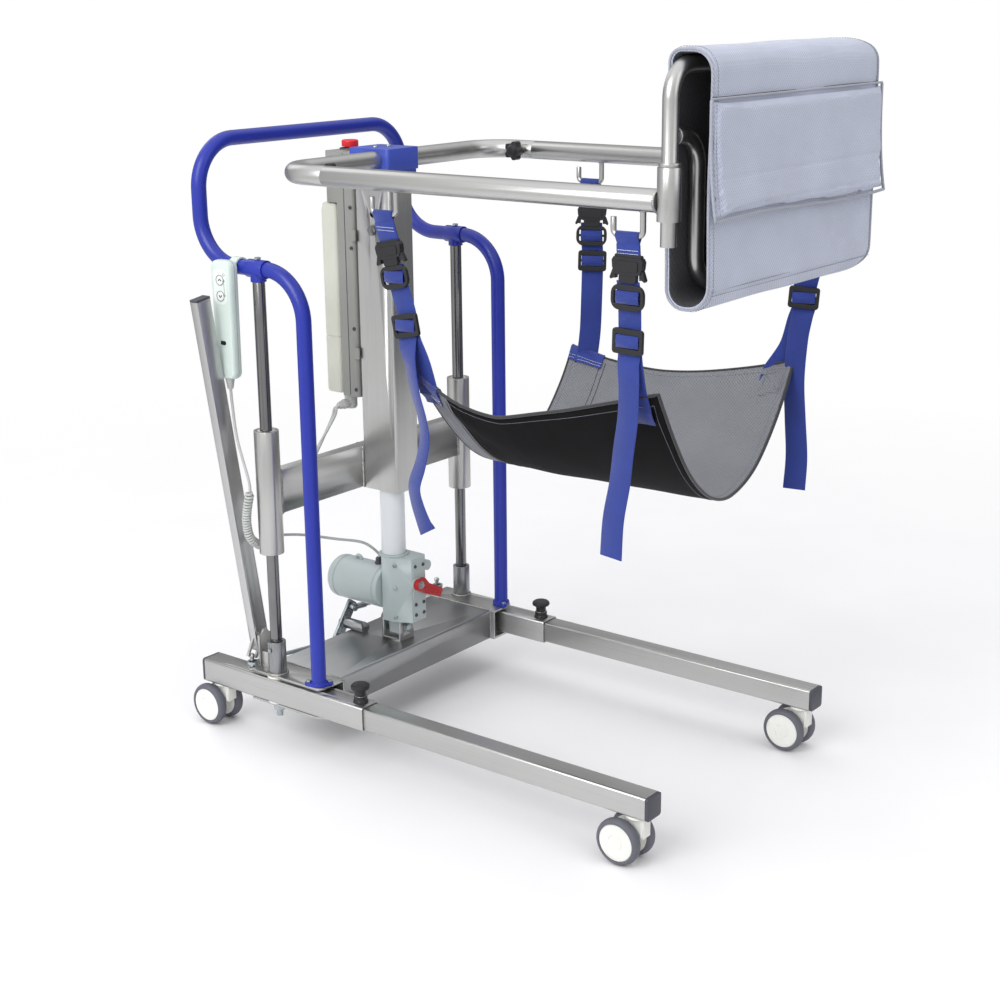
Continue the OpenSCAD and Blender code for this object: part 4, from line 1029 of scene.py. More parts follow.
def cables(handset_end, glands, motor_gland):
    """Handset lead and its coil, two control box leads, and the motor lead, which rides on the base."""
    coil_points = [(-73, -300, 490), (-83, -300, 455), (-87, -299, 425), (-88, -290, 396), (-89, -264, 374)]
    coil_top, *_, coil_low = (Vector(p) * MM for p in coil_points)

    def cable(name, points, radius, moves=None):
        lead = bmesh.new()
        tube(lead, spline(points, 10), radius * MM, 10)
        piece = finish_mesh(name, lead, CABLE_GREY, None if moves else "base", 0, 60)
        if moves:
            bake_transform(piece)

    start = Vector(handset_end)
    cable("handset_lead", [start, start + Vector((2, 0, -30)) * MM, start.lerp(coil_top, 0.5) - X * 8 * MM,
                           coil_top + Vector((-3, 0, 22)) * MM, coil_top],
          2.6, ("hand_control", tuple(coil_top), tuple(start)))

    coil = bmesh.new()
    axis = spline([Vector(p) * MM for p in coil_points], 8)
    tangents, sides = directions(axis)
    turns, steps = 24, 14
    path = []
    for k in range(turns * steps + 1):
        t = k / (turns * steps) * (len(axis) - 1)
        i = min(int(t), len(axis) - 2)
        centre = axis[i].lerp(axis[i + 1], t - i)
        u, v = sides[i], tangents[i].cross(sides[i])
        a = 2 * math.pi * k / steps
        ease = min(1, k / steps, (turns * steps - k) / steps)
        path.append(centre + (u * math.cos(a) + v * math.sin(a)) * 6.4 * MM * ease)
    tube(coil, path, 2.4 * MM, 8)
    finish_mesh("handset_coil", coil, CABLE_GREY, "base", 0, 60)

    bend = Vector((-97, -226, 384)) * MM
    leads = (
        ("handset_box_lead", "hand_mint", glands[0], 0, [coil_low, bend + Z * 22 * MM]),
        ("motor_box_lead", "box_grey", glands[1], 6, [bend, bend + Vector((-2, 6, 22)) * MM]),
    )
    for name, slot, (end, out), shift, first in leads:
        side = Vector((-shift, 0, 0)) * MM
        points = first + [Vector((-99, -170, 446)) * MM + side, Vector((-99, -112, 500)) * MM + side,
                          end + out * 16 * MM - Z * 22 * MM, end + out * 8 * MM - Z * 3 * MM, end]
        cable(name, points, 2.7, ("carriage", (end.x, end.y, first[0].z), tuple(end)))
    cable("motor_lead", [motor_gland, motor_gland + Z * 8 * MM, Vector((-42, -40, 332)) * MM,
                         Vector((-58, -100, 352)) * MM, Vector((-80, -170, 374)) * MM, bend], 2.7)


# ---------------------------------------------------------------- sling and straps

SLING = Box("sling_seat")
SLING_HALF = SLING.size.y / 2


def dip(u, low_at, start, low, stop, power):
    """Height along a sling edge: from start down to low at low_at, then up to stop."""
    if u < low_at:
        return low + (start - low) * ((low_at - u) / low_at) ** 2
    return low + (stop - low) * ((u - low_at) / (1 - low_at)) ** power


def sling_surface(u, v):
    """Middle of the sling: u runs from rear to front, v from the right edge (-1) to the left one (1)."""
    rear = SLING.low.x + 30 * MM - 48.5 * MM * v - 17.5 * MM * v * v
    front = SLING.high.x - 12 * MM - 42 * MM * v - 4 * MM * v * v
    right = SLING.high.z + dip(u, 0.34, 14, -37, 42, 1.15) * MM
    left = SLING.high.z + dip(u, 0.42, -43, -64, -14, 1.6) * MM
    edge = right if v < 0 else left
    floor = SLING.low.z + 4 * MM
    x = rear + (front - rear) * u
    y = SLING_HALF * v * (1 - 0.03 * math.sin(math.pi * u) * v ** 4)
    z = floor + (edge - floor) * abs(v) ** 2.05
    return Vector((x, y, z))


def sling_normal(u, v):
    d = 0.01
    a = sling_surface(min(u + d, 1), v) - sling_surface(max(u - d, 0), v)
    b = sling_surface(u, min(v + d, 1)) - sling_surface(u, max(v - d, -1))
    return a.cross(b).normalized()


def sling_folds(u, v):
    """Shallow creases that run out from the loaded corners, and a soft unevenness."""
    height = 1.6 * MM * noise.noise(Vector((u * 5, v * 4, 0.3)))
    for cu in (0, 1):
        for cv in (-1, 1):
            du, dv = (u - cu) * 0.44, (v - cv) * 0.33
            reach = math.hypot(du, dv)
            fade = math.exp(-reach / 0.07)
            height += 2.4 * MM * math.sin(9 * math.atan2(dv, du)) * fade * min(1, reach / 0.03)
    for seam in (0.155, 0.185):
        height -= 0.9 * MM * math.exp(-((u - seam) / 0.006) ** 2)
    return height


def sling_at(u, v, off=0.0):
    return sling_surface(u, v) + sling_normal(u, v) * (sling_folds(u, v) + off)


def sling():
    """The seat sling: mesh above, black coated backing below, piped and topstitched."""
    nu, nv, half = 84, 110, 2.4 * MM
    hem = 9
    bm = bmesh.new()

    def spot(i, j, sign, rim):
        return sling_at(i / nu, -1 + 2 * j / nv, sign * half * (0.35 if rim == 0 else 1))

    two_sheets(bm, nu, nv, spot, lambda sheet, i: sheet if i > hem else 0, 1)
    finish_mesh("sling_fabric", bm, [SLING_TOP, SLING_BACK], "arms", 0, 180, ("sling_seat",))

    def along(u0, v0, u1, v1, count, off):
        return [sling_at(u0 + (u1 - u0) * k / count, v0 + (v1 - v0) * k / count, off)
                for k in range(count + 1)]

    piping = bmesh.new()
    rim = (along(0, -1, 1, -1, 60, 0)[:-1] + along(1, -1, 1, 1, 80, 0)[:-1]
           + along(1, 1, 0, 1, 60, 0)[:-1] + along(0, 1, 0, -1, 80, 0)[:-1])
    tube(piping, rim, 2.7 * MM, 10, True)
    finish_mesh("sling_piping", piping, PIPING, "arms", 0, 180)

    rows = bmesh.new()
    a, b = 0.026, 0.966
    for off in (half + 0.2 * MM, -half - 0.2 * MM):
        for u in (a, 1 - a):
            stitches(rows, along(u, -b, u, b, 80, off))
        for v in (-b, b):
            stitches(rows, along(a, v, 1 - a, v, 60, off))
    seams = bmesh.new()
    for u in (0.155, 0.178):
        tube(seams, along(u, -b, u, b, 90, half - 0.2 * MM), 0.9 * MM, 6)
    tube(seams, along(0.11, -b, 0.11, b, 90, -half - 0.2 * MM), 0.8 * MM, 6)
    finish_mesh("sling_seams", seams, PIPING, "arms", 0, 60)
    finish_mesh("sling_stitching", rows, GREY_THREAD, "arms", 0, 60)

    patches, crosses = bmesh.new(), bmesh.new()
    for cu, cv in ((0.94, 0.90), (0.06, -0.88)):
        signs = ((-1, -1), (1, -1), (1, 1), (-1, 1))
        corners = [(cu + a * 0.045, cv + b * 0.06) for a, b in signs]
        low = [sling_at(u, v, half) for u, v in corners]
        high = [sling_at(u, v, half + 1.1 * MM) for u, v in corners]
        rings = [[patches.verts.new(p) for p in low], [patches.verts.new(p) for p in high]]
        join_rings(patches, rings)
        patches.faces.new(rings[1])
        patches.faces.new(rings[0])
        inner = [(cu + (u - cu) * 0.84, cv + (v - cv) * 0.84) for u, v in corners]
        for (u0, v0), (u1, v1) in boxed_cross(inner):
            stitches(crosses, along(u0, v0, u1, v1, 6, half + 1.3 * MM), 2.6 * MM, 1.0 * MM)
    finish_mesh("sling_patches", patches, SLING_TOP, "arms", 0.4 * MM)
    finish_mesh("sling_patch_stitching", crosses, GREY_THREAD, "arms", 0, 60)


STRAP_WIDTH = 40 * MM
STRAP_T = 1.8 * MM
HOOK_Z = 1005 * MM
HOOK_R = 4.5 * MM


def ring_plate(bm, outer, inner, z0, z1, place):
    """Flat frame between two outlines that have the same number of points."""
    rings = []
    for outline, z in ((outer, z0), (outer, z1), (inner, z1), (inner, z0)):
        rings.append([bm.verts.new(place @ Vector((x, y, z))) for x, y in outline])
    join_rings(bm, rings, 0, True)


def side_release_buckle(bm, centre, out, up):
    """Squeeze buckle: a shell with a raised face, the prongs beside it, and its strap bar."""
    place = axes(centre, out, up)

    def slab(w, h, r, y, z0, z1):
        prism(bm, round_rect(w * MM, h * MM, r * MM, 4), z0 * MM, z1 * MM,
              place @ Matrix.Translation((0, y * MM, 0)))

    def plate(outline, z0, z1):
        prism(bm, [(x * MM, y * MM) for x, y in outline], z0 * MM, z1 * MM, place)

    shell = [(-24, 17), (24, 17), (27, 12), (26, 2), (23, -6),
             (14, -9), (-14, -9), (-23, -6), (-26, 2), (-27, 12)]
    plate(shell, -5.5, 5.5)
    slab(38, 15, 4, 4, 5.3, 6.8)
    slab(38, 15, 4, 4, -6.8, -5.3)
    slab(46, 6, 2.5, 18, -4, 4)
    slab(30, 16, 3, -12, -4, 4)
    prong = [(20, -4), (26, -1), (31, -14), (29.5, -17), (25, -14), (21, -15)]
    plate(prong, -4, 4)
    plate([(-x, y) for x, y in reversed(prong)], -4, 4)


def strap_slide(bm, centre, out, up, width=52, height=36, r=6.0, wall=8.5):
    """Chunky slide with a middle bar."""
    place = axes(centre, out, up)
    outer = [(x * MM, y * MM) for x, y in round_rect(width, height, r, 5)]
    inner = [(x * MM, y * MM) for x, y in round_rect(width - 1.3 * wall, height - 2 * wall, 2.5, 5)]
    ring_plate(bm, outer, inner, -3 * MM, 3 * MM, place)
    bar = [place @ Vector((x * MM, 0, -1.5 * MM)) for x in (-width / 2 + 3, 0, width / 2 - 3)]
    tube(bm, bar, 2.4 * MM, 10)


def strap(name, side, top_x, buckle, lock, slide, route, tail, sewn, across=(1, 0, 0), turn=0.12):
    """One suspension strap: loop on the hook, buckle, lock, slide, the run to the sling and the tail.

    The buckle, lock, slide, route and tail are given in millimetres as (x, outward shift, z).
    """
    web, hard, white = bmesh.new(), bmesh.new(), bmesh.new()
    across = Vector(across).normalized()
    out = across.cross(Z)
    bar = Vector((top_x * MM, side * ARM_Y, HOOK_Z))
    grip = HOOK_R + STRAP_T / 2 + 0.3 * MM

    def spot(x, shift, z):
        return Vector((x * MM, side * ARM_Y, z * MM)) + out * shift * MM

    ends = [spot(buckle[0], shift, buckle[2] + 16) for shift in (-1.1, 1.1)]
    loop = [ends[0], spot(top_x, -1.1, 992)]
    for k in range(17):
        a = math.radians(190 - 12.5 * k)
        loop.append(bar + Vector((0, math.cos(a), math.sin(a))) * grip)
    loop += [spot(top_x, 1.1, 992), ends[1]]
    band(web, loop, STRAP_WIDTH, STRAP_T, lambda t: X.lerp(across, 1 if t in (0, 1) else 0))
    for z in (984, 979):
        x = top_x + (buckle[0] - top_x) * (992 - z) / (976 - buckle[2])
        for shift in (-2.2, 2.2):
            centre = spot(x, shift, z)
            stitches(white, [centre - across * 18 * MM, centre + across * 18 * MM], 3 * MM, 1 * MM)
    lean = spot(*buckle) - spot(*lock)
    side_release_buckle(hard, spot(*buckle), out, lean)

    through = [(lock[0], 0, lock[2] + 24), (lock[0], -4.4, lock[2]), (slide[0], -5, slide[2] + 14),
               (slide[0], -6.2, slide[2] - 14), *route]
    main = spline([spot(*at) for at in through] + sewn, 8)
    band(web, main, STRAP_WIDTH, STRAP_T, across)
    for (x, _, z), height, r in ((lock, 38, 14), (slide, 38, 5)):
        strap_slide(hard, spot(x, 0, z), out, lean, 57 if r > 8 else 53, height, r)
        wrap = height / 2 - 8.5
        band(web, [spot(x, -3.4, z - wrap), spot(x, 2.6, z - wrap * 0.8), spot(x, 3.4, z),
                   spot(x, 2.6, z + wrap * 0.8), spot(x, -3.4, z + wrap)], STRAP_WIDTH, STRAP_T, across)
    if tail:
        start = [spot(slide[0], -3.6, slide[2] - z) for z in (9, 21)]
        path = spline(start + [spot(*at) for at in tail], 10)

        def twisted(t):
            return across + out * turn * (0.3 + math.sin(3.3 * t)) * min(1, 4 * t)

        band(web, path, STRAP_WIDTH, STRAP_T, twisted)
    finish_mesh("strap_" + name, web, WEBBING, "arms", 0, 60, ("sling_straps",))
    finish_mesh("buckles_" + name, hard, BLACK, "arms", 0.8 * MM, 30, ("strap_buckles",))
    finish_mesh("strap_stitching_" + name, white, WHITE_THREAD, "arms", 0, 60)


def sewn_end(u, v, name):
    """A strap's last run along the sling's underside, with boxed stitching where it is given a name."""
    inward = -1 if v > 0 else 1
    run = [sling_at(u, v + inward * 0.07 * k / 3, -5.0 * MM) for k in range(4)]
    if not name:
        return run
    rows = bmesh.new()
    centre = (run[0] + run[-1]) / 2
    out = -sling_normal(u, v + inward * 0.035)
    place = axes(centre + out * 1.4 * MM, out, (run[0] - run[-1]).normalized())
    reach = (run[0] - run[-1]).length / 2
    corners = ((-16, -reach), (16, -reach), (16, reach), (-16, reach))
    for a, b in boxed_cross([place @ Vector((x * MM, y, 0)) for x, y in corners]):
        stitches(rows, [a, b], 2.6 * MM, 1.0 * MM)
    finish_mesh("sewn_box_" + name, rows, WARM_THREAD, "arms", 0, 60)
    return run


def corner_hem(name, v, stop, depth):
    """Webbing folded over the sling's side edge at a rear corner, with two rows of stitches."""
    bm, rows = bmesh.new(), bmesh.new()
    layer = bm.loops.layers.uv.verify()
    inward = -depth if v > 0 else depth
    outer, inner, count = 5.4 * MM, 4.0 * MM, 12
    rings = []
    for k in range(count + 1):
        u = stop * k / count
        edge = sling_at(u, v)
        beyond = (edge - sling_at(u, v + inward * 0.2)).normalized()
        ring = []
        for half, tip in ((outer, 6), (-inner, 4.4)):
            ring += [sling_at(u, v + inward * part, half) for part in (1, 0.5, 0.05)]
            ring.append(edge + beyond * tip * MM)
            ring += [sling_at(u, v + inward * part, -half) for part in (0.05, 0.5, 1)]
        rings.append([bm.verts.new(p) for p in ring])
    size = len(rings[0])
    for i in range(count):
        for k in range(size):
            j = (k + 1) % size
            face = bm.faces.new([rings[i][k], rings[i][j], rings[i + 1][j], rings[i + 1][k]])
            for loop, (a, b) in zip(face.loops, ((k, i), (k + 1, i), (k + 1, i + 1), (k, i + 1))):
                loop[layer].uv = (a * 8 * MM, b * 6 * MM)
    for ring in (rings[0], rings[-1]):
        bm.faces.new(ring)
    for part in (0.85, 0.62):
        for off in (outer + 0.4 * MM, -outer - 0.4 * MM):
            line = [sling_at(stop * k / 8, v + inward * part, off) for k in range(9)]
            stitches(rows, line, 2.6 * MM, 1.2 * MM)
    finish_mesh("corner_hem_" + name, bm, WEBBING, "arms", 0, 60)
    finish_mesh("corner_stitching_" + name, rows, WHITE_THREAD, "arms", 0, 60)


def straps():
    """The four suspension straps."""
    strap("front_right", -1, 725, (726, 0, 957), (725, 0, 915), (726, 0, 850),
          [(731, -3, 812), (738, -1, 782)],
          [(729, 3, 812), (735, 10, 785), (737, 15, 738), (728, 12, 686), (720, 9, 635), (711, 12, 577),
           (705, 9, 515)], sewn_end(0.92, -0.975, "front_right"))
    strap("rear_right", -1, 256, (267, 0, 943), (275, 0, 905), (296, 0, 828),
          [(308, -3, 796), (326, -2, 765)],
          [(303, 3, 792), (312, 10, 768), (319, 9, 726), (331, 6, 680), (337, 8, 644), (330, 12, 603),
           (318, 14, 566), (320, 11, 536), (330, 7, 503), (338, 6, 488)], sewn_end(0.045, -0.975, ""),
          turn=0.42)
    strap("rear_left", 1, 258, (261, 0, 943), (260, 0, 906), (262, 0, 859),
          [(261, 0, 790), (258, 0, 725)], [], sewn_end(0.075, 0.975, ""), (0.86, 0.5, 0))
    strap("front_left", 1, 725, (723, 0, 943), (720, 0, 902), (707, 0, 832),
          [(698, -3, 790), (684, -1, 742)],
          [(705, 3, 796), (700, 9, 760), (697, 14, 690), (701, 10, 620), (706, 7, 550), (704, 9, 490)],
          sewn_end(0.92, 0.975, "front_left"), (0.95, 0.31, 0), 0.25)
    corner_hem("rear_left", 1, 0.165, 0.075)
    corner_hem("rear_right", -1, 0.085, 0.075)


# ---------------------------------------------------------------- back pad

PAD = Box("back_pad")
PAD_FRONT = PAD.high.x - 9 * MM
FLAP_TOP = PAD.high.z - 72 * MM


def pad_path(steps=10):
    """Middle line of the pad's loop in (x, z), from the front seam up, over the frame, down and round."""
    back, front = PAD.low.x + 5 * MM, PAD_FRONT
    low, high = PAD.low.z + 5 * MM, PAD.high.z - 6 * MM
    corners = [(front, high, 30, 0), (back, high, 17, 90), (back, low, 27, 180), (front, low, 33, 270)]
    path = []
    for x, z, r, start in corners:
        cx = x - r * MM if start in (0, 270) else x + r * MM
        cz = z - r * MM if start in (0, 90) else z + r * MM
        for k in range(steps + 1):
            a = math.radians(start + 90 * k / steps)
            path.append(Vector((cx + r * MM * math.cos(a), 0, cz + r * MM * math.sin(a))))
    fine = []
    for a, b in zip(path, path[1:] + path[:1]):
        parts = max(1, round((b - a).length / (12 * MM)))
        fine.extend(a.lerp(b, k / parts) for k in range(parts))
    return fine


def pad_limits(p):
    """The pad's near and far edge at a point of its loop; the far corners are rounded."""
    t = min(max((p.x - 800 * MM) / (38 * MM), 0), 1)
    far = 205 * MM + 44 * MM * t * t * (3 - 2 * t)
    corner = 46 * MM
    for depth in (p.z - PAD.low.z, PAD.high.z - p.z):
        if depth < corner:
            far -= 0.75 * (corner - math.sqrt(max(corner ** 2 - (corner - depth) ** 2, 0)))
    near = -262 * MM + 2 * MM * math.sin(p.z * 22)
    return near, far


def back_pad():
    """The padded loop over the back frame, with its lining, piping and seams."""
    path = pad_path()
    count, across = len(path), 56
    tangents, _ = directions(path, True)
    outer, inner = [], []
    bm = bmesh.new()
    for i, p in enumerate(path):
        out = Vector((tangents[i].z, 0, -tangents[i].x))
        near, far = pad_limits(p)
        row_out, row_in = [], []
        for j in range(across + 1):
            t = j / across
            y = near + (far - near) * t
            rim = min(y - near, far - y)
            full = min(1, math.sqrt(max(rim, 0) / (16 * MM)))
            half = (2.0 + 2.4 * full) * MM
            swell = 2.2 * MM * full * (0.5 + noise.noise(Vector((p.x * 7, y * 7, p.z * 7))))
            for seam_z in (PAD.low.z + 20 * MM, FLAP_TOP):
                if p.x > 825 * MM:
                    swell -= 1.6 * MM * math.exp(-((p.z - seam_z) / (4 * MM)) ** 2)
            place = Vector((p.x, y, p.z))
            row_out.append(bm.verts.new(place + out * (half + swell)))
            row_in.append(bm.verts.new(place - out * half))
        outer.append(row_out)
        inner.append(row_in)
    for i in range(count):
        n = (i + 1) % count
        for j in range(across):
            bm.faces.new([outer[i][j], outer[n][j], outer[n][j + 1], outer[i][j + 1]])
            bm.faces.new([inner[i][j], inner[n][j], inner[n][j + 1], inner[i][j + 1]]).material_index = 1
        for j in (0, across):
            bm.faces.new([outer[i][j], outer[n][j], inner[n][j], inner[i][j]])
    finish_mesh("pad_loop", bm, [PAD_FABRIC, PAD_LINING], "back_gate", 0, 180, ("back_pad",), 1)

    piping, rows = bmesh.new(), bmesh.new()
    for edge in (0, 1):
        rim, stitch = [], []
        for i, p in enumerate(path):
            y = pad_limits(p)[edge]
            out = Vector((tangents[i].z, 0, -tangents[i].x))
            rim.append(Vector((p.x, y, p.z)) + out * 2.2 * MM)
            inset = 9 * MM if edge == 0 else -9 * MM
            stitch.append(Vector((p.x, y + inset, p.z)) + out * 5.6 * MM)
        tube(piping, rim, 2.1 * MM, 8, True)
        stitches(rows, stitch + stitch[:1])
    finish_mesh("pad_piping", piping, PAD_PIPING, "back_gate", 0, 180)
    for z in (PAD.low.z + 17 * MM, PAD.low.z + 23 * MM):
        line = [Vector((PAD_FRONT + 4.6 * MM, -255 * MM + 500 * MM * k / 30, z + 8 * MM)) for k in range(31)]
        stitches(rows, line)
    finish_mesh("pad_stitching", rows, GREY_THREAD, "back_gate", 0, 60)


def flap_point(s, t):
    """Middle of the flap: s runs from its right edge to its left, t from its top seam down to its hem."""
    y = -270 * MM + 527 * MM * s
    bottom = 1028 * MM + 5 * MM * math.sin(5.2 * s + 0.6) + 4 * MM * s
    z = FLAP_TOP + (bottom - FLAP_TOP) * t
    lift = 9 * MM * t ** 3 + 3.0 * MM * math.sin(7.0 * s + 0.8) * t * t
    x = PAD.high.x - 2.0 * MM + lift
    return Vector((x, y, z))


def inflate(piece, voxel, pressure, cap, frames=20):
    """Puffs a closed soft piece with a short cloth simulation and keeps the result in its mesh."""
    scene = bpy.context.scene
    rest = piece.copy()
    rest.data = piece.data.copy()
    rest.name = piece.name + "_simulation"
    scene.collection.objects.link(rest)
    rest.modifiers.clear()
    remesh = rest.modifiers.new("remesh", "REMESH")
    remesh.mode = "VOXEL"
    remesh.voxel_size = voxel
    graph = bpy.context.evaluated_depsgraph_get()
    mesh = bpy.data.meshes.new_from_object(rest.evaluated_get(graph))
    rest.modifiers.clear()
    rest.data = mesh
    start = [v.co.copy() for v in mesh.vertices]
    cloth = rest.modifiers.new("cloth", "CLOTH")
    cloth.settings.effector_weights.gravity = 0
    cloth.settings.use_pressure = True
    cloth.settings.uniform_pressure_force = pressure
    cloth.point_cache.frame_start, cloth.point_cache.frame_end = 1, frames
    for frame_number in range(1, frames + 1):
        scene.frame_set(frame_number)
    graph = bpy.context.evaluated_depsgraph_get()
    puffed = bpy.data.meshes.new_from_object(rest.evaluated_get(graph))
    for vertex, origin in zip(puffed.vertices, start):
        move = vertex.co - origin
        if move.length > cap:
            vertex.co = origin + move.normalized() * cap
    scene.frame_set(1)
    materials = list(piece.data.materials)
    old = piece.data
    piece.data = puffed
    piece.data.materials.clear()
    for material in materials:
        piece.data.materials.append(material)
    piece.data.shade_smooth()
    bpy.data.objects.remove(rest)
    bpy.data.meshes.remove(old)


def pad_flap():
    """The outer flap: a quilted panel, puffed by cloth simulation, then hemmed and stitched."""
    ns, nt = 110, 40
    bm = bmesh.new()

    def spot(i, j, sign, rim):
        return flap_point(i / ns, j / nt) + X * ((2.6 if rim else 1.4) * MM) * sign

    two_sheets(bm, ns, nt, spot)
    piece = finish_mesh("pad_flap", bm, PAD_FABRIC, None, 0, 180)
    inflate(piece, 4 * MM, 4.0, 5 * MM)
    channels = (0.66, 0.91)
    bottom = 1033 * MM
    for vertex in piece.data.vertices:
        t = (vertex.co.z - FLAP_TOP) / (bottom - FLAP_TOP)
        dent = sum(math.exp(-((t - c) / 0.014) ** 2) for c in channels)
        if vertex.co.x > PAD.high.x:
            vertex.co.x -= 1.5 * MM * min(dent, 1)
    subdivide = piece.modifiers.new("subdivide", "SUBSURF")
    subdivide.levels = subdivide.render_levels = 1
    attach(piece, "back_gate")

    rows, piping = bmesh.new(), bmesh.new()
    for t in channels:
        line = [flap_point(0.02 + 0.96 * k / 50, t) + X * 4.0 * MM for k in range(51)]
        stitches(rows, line)
    for s in (0.016, 0.984):
        stitches(rows, [flap_point(s, 0.03 + 0.93 * k / 20) + X * 3.6 * MM for k in range(21)])
    seam = bmesh.new()
    line = [Vector((PAD_FRONT + 4.0 * MM, -262 * MM + 508 * MM * k / 40, FLAP_TOP + 2.5 * MM))
            for k in range(41)]
    tube(seam, line, 1.2 * MM, 6)
    finish_mesh("flap_seam", seam, PIPING, "back_gate", 0, 60)
    for s in (0, 1):
        tube(piping, [flap_point(s, k / 24) for k in range(25)], 2.6 * MM, 8)
    tube(piping, [flap_point(k / 60, 1) for k in range(61)], 2.6 * MM, 8)
    tube(piping, [flap_point(k / 60, 0) + Z * 1 * MM for k in range(61)], 1.8 * MM, 8)
    finish_mesh("flap_stitching", rows, GREY_THREAD, "back_gate", 0, 60)
    finish_mesh("flap_piping", piping, PAD_PIPING, "back_gate", 0, 180)


# ---------------------------------------------------------------- stage

def room_light(tree, coords):
    """Brightness of the room by direction: soft bright and dark walls under a pale ceiling."""
    link = tree.links.new
    turn = tree.nodes.new("ShaderNodeTexGradient")
    turn.gradient_type = "RADIAL"
    link(coords, turn.inputs["Vector"])
    walls = tree.nodes.new("ShaderNodeValToRGB")
    link(turn.outputs["Fac"], walls.inputs[0])
    stops = [(0.0, 0.45), (0.06, 0.75), (0.12, 1.0), (0.2, 1.0), (0.27, 0.72), (0.33, 0.95),
             (0.42, 0.85), (0.5, 0.55), (0.58, 0.26), (0.66, 0.2), (0.73, 0.32), (0.8, 0.46),
             (0.86, 0.38), (0.93, 0.32), (1.0, 0.45)]
    ramp = walls.color_ramp
    for position, _ in stops[1:-1]:
        ramp.elements.new(position)
    for element, (position, value) in zip(ramp.elements, stops):
        element.position = position
        element.color = (value, value, value * 1.01, 1)
    split = tree.nodes.new("ShaderNodeSeparateXYZ")
    link(coords, split.inputs[0])
    height = tree.nodes.new("ShaderNodeMapRange")
    height.inputs["From Min"].default_value = 0.4
    height.inputs["From Max"].default_value = 0.85
    link(split.outputs["Z"], height.inputs["Value"])
    dome = tree.nodes.new("ShaderNodeMix")
    dome.data_type = "RGBA"
    link(height.outputs[0], dome.inputs[0])
    link(walls.outputs[0], dome.inputs[6])
    dome.inputs[7].default_value = (1.3, 1.3, 1.32, 1)
    return dome.outputs[2]


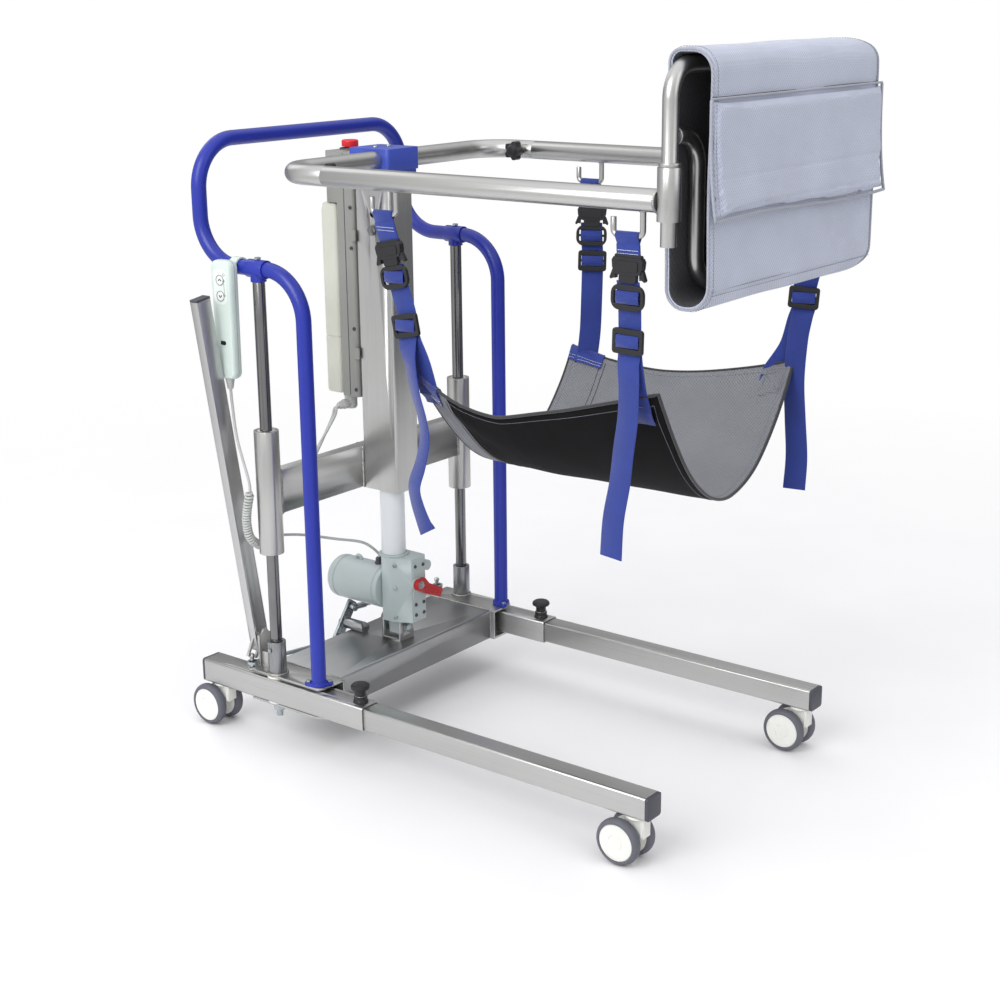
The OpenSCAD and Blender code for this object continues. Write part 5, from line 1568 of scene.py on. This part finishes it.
def studio():
    """Pale floor that fades into a white room, and large soft lights."""
    half = 40
    mesh = bpy.data.meshes.new("floor")
    corners = [(-half, -half, 0), (half, -half, 0), (half, half, 0), (-half, half, 0)]
    mesh.from_pydata(corners, [], [(0, 1, 2, 3)])
    floor = bpy.data.objects.new("floor", mesh)
    floor.location.z = -0.0002
    bpy.context.scene.collection.objects.link(floor)
    s = Shader("pale_floor", (0.86, 0.86, 0.87), 0.55)
    s.set("Base Color", s.mix(s.remap(s.noise(3.0), 0.3, 0.7), (0.87, 0.87, 0.88), (0.9, 0.9, 0.905)))
    nodes, link = s.tree.nodes, s.tree.links.new
    glow, clear = nodes.new("ShaderNodeEmission"), nodes.new("ShaderNodeBsdfTransparent")
    distance = s.node("ShaderNodeVectorMath", {0: s.node("ShaderNodeTexCoord", out="Object")},
                      out="Value", operation="LENGTH")
    rays = nodes.new("ShaderNodeLightPath")
    beyond, blend = nodes.new("ShaderNodeMixShader"), nodes.new("ShaderNodeMixShader")
    link(rays.outputs["Is Camera Ray"], beyond.inputs[0])
    link(clear.outputs[0], beyond.inputs[1])
    link(glow.outputs[0], beyond.inputs[2])
    link(s.remap(distance, 0.9, 3.0), blend.inputs[0])
    link(s.bsdf.outputs[0], blend.inputs[1])
    link(beyond.outputs[0], blend.inputs[2])
    link(blend.outputs[0], nodes["Material Output"].inputs["Surface"])
    mesh.materials.append(s.material)

    world = bpy.data.worlds.new("room")
    bpy.context.scene.world = world
    world.use_nodes = True
    tree = world.node_tree
    link = tree.links.new
    coords = tree.nodes.new("ShaderNodeTexCoord").outputs["Generated"]
    room = tree.nodes["Background"]
    room.inputs["Strength"].default_value = 0.95
    link(room_light(tree, coords), room.inputs["Color"])
    white = tree.nodes.new("ShaderNodeBackground")
    white.inputs["Color"].default_value = (1, 1, 1, 1)
    rays = tree.nodes.new("ShaderNodeLightPath")
    choose = tree.nodes.new("ShaderNodeMixShader")
    link(rays.outputs["Is Camera Ray"], choose.inputs[0])
    link(room.outputs[0], choose.inputs[1])
    link(white.outputs[0], choose.inputs[2])
    link(choose.outputs[0], tree.nodes["World Output"].inputs["Surface"])

    def area(name, place, size, power):
        light = bpy.data.lights.new(name, "AREA")
        light.shape = "RECTANGLE"
        light.size, light.size_y = size
        light.energy = power
        lamp = bpy.data.objects.new(name, light)
        lamp.location = place
        lamp.rotation_euler = (Vector((0.2, 0, 0.6)) - Vector(place)).to_track_quat("-Z", "Y").to_euler()
        bpy.context.scene.collection.objects.link(lamp)

    area("key", (0.3, -3.4, 2.8), (2.4, 2.4), 76)
    area("fill", (3.8, 0.2, 2.2), (1.8, 2.4), 16)
    area("back", (-3.4, 0.6, 3.0), (2.0, 2.0), 14)


def camera():
    """The photograph's viewpoint: seen from the front right, slightly above, with a long lens."""
    heading, pitch, roll = math.radians(37.91), math.radians(16.36), math.radians(-0.61)
    forward = Vector((-math.sin(heading) * math.cos(pitch), math.cos(heading) * math.cos(pitch),
                      -math.sin(pitch)))
    level = Vector((math.cos(heading), math.sin(heading), 0))
    over = level.cross(forward)
    right = level * math.cos(roll) + over * math.sin(roll)
    up = right.cross(forward)
    data = bpy.data.cameras.new("camera")
    data.lens, data.sensor_width = 62.16, 36
    cam = bpy.data.objects.new("camera", data)
    cam.matrix_world = Matrix.Translation((2.1087, -2.3728, 1.3425)) @ Matrix(
        (right, up, -forward)).transposed().to_4x4()
    bpy.context.scene.collection.objects.link(cam)
    bpy.context.scene.camera = cam


# ---------------------------------------------------------------- assembly

for name, material in FRAME_MATERIALS.items():
    finish_frame_part(name, material)
for corner in CORNERS:
    caster(corner)
for side in ("right", "left"):
    leg_knob(side)
gearbox_details()
motor_gland = motor()
release_lever_details()
battery()
glands = control_box()
mast_fittings()
base_welds()
arm_welds()
handset_end = hand_control()
cables(handset_end, glands, motor_gland)
sling()
straps()
back_pad()
pad_flap()
studio()
camera()
bpy.context.scene.view_settings.view_transform = "Standard"
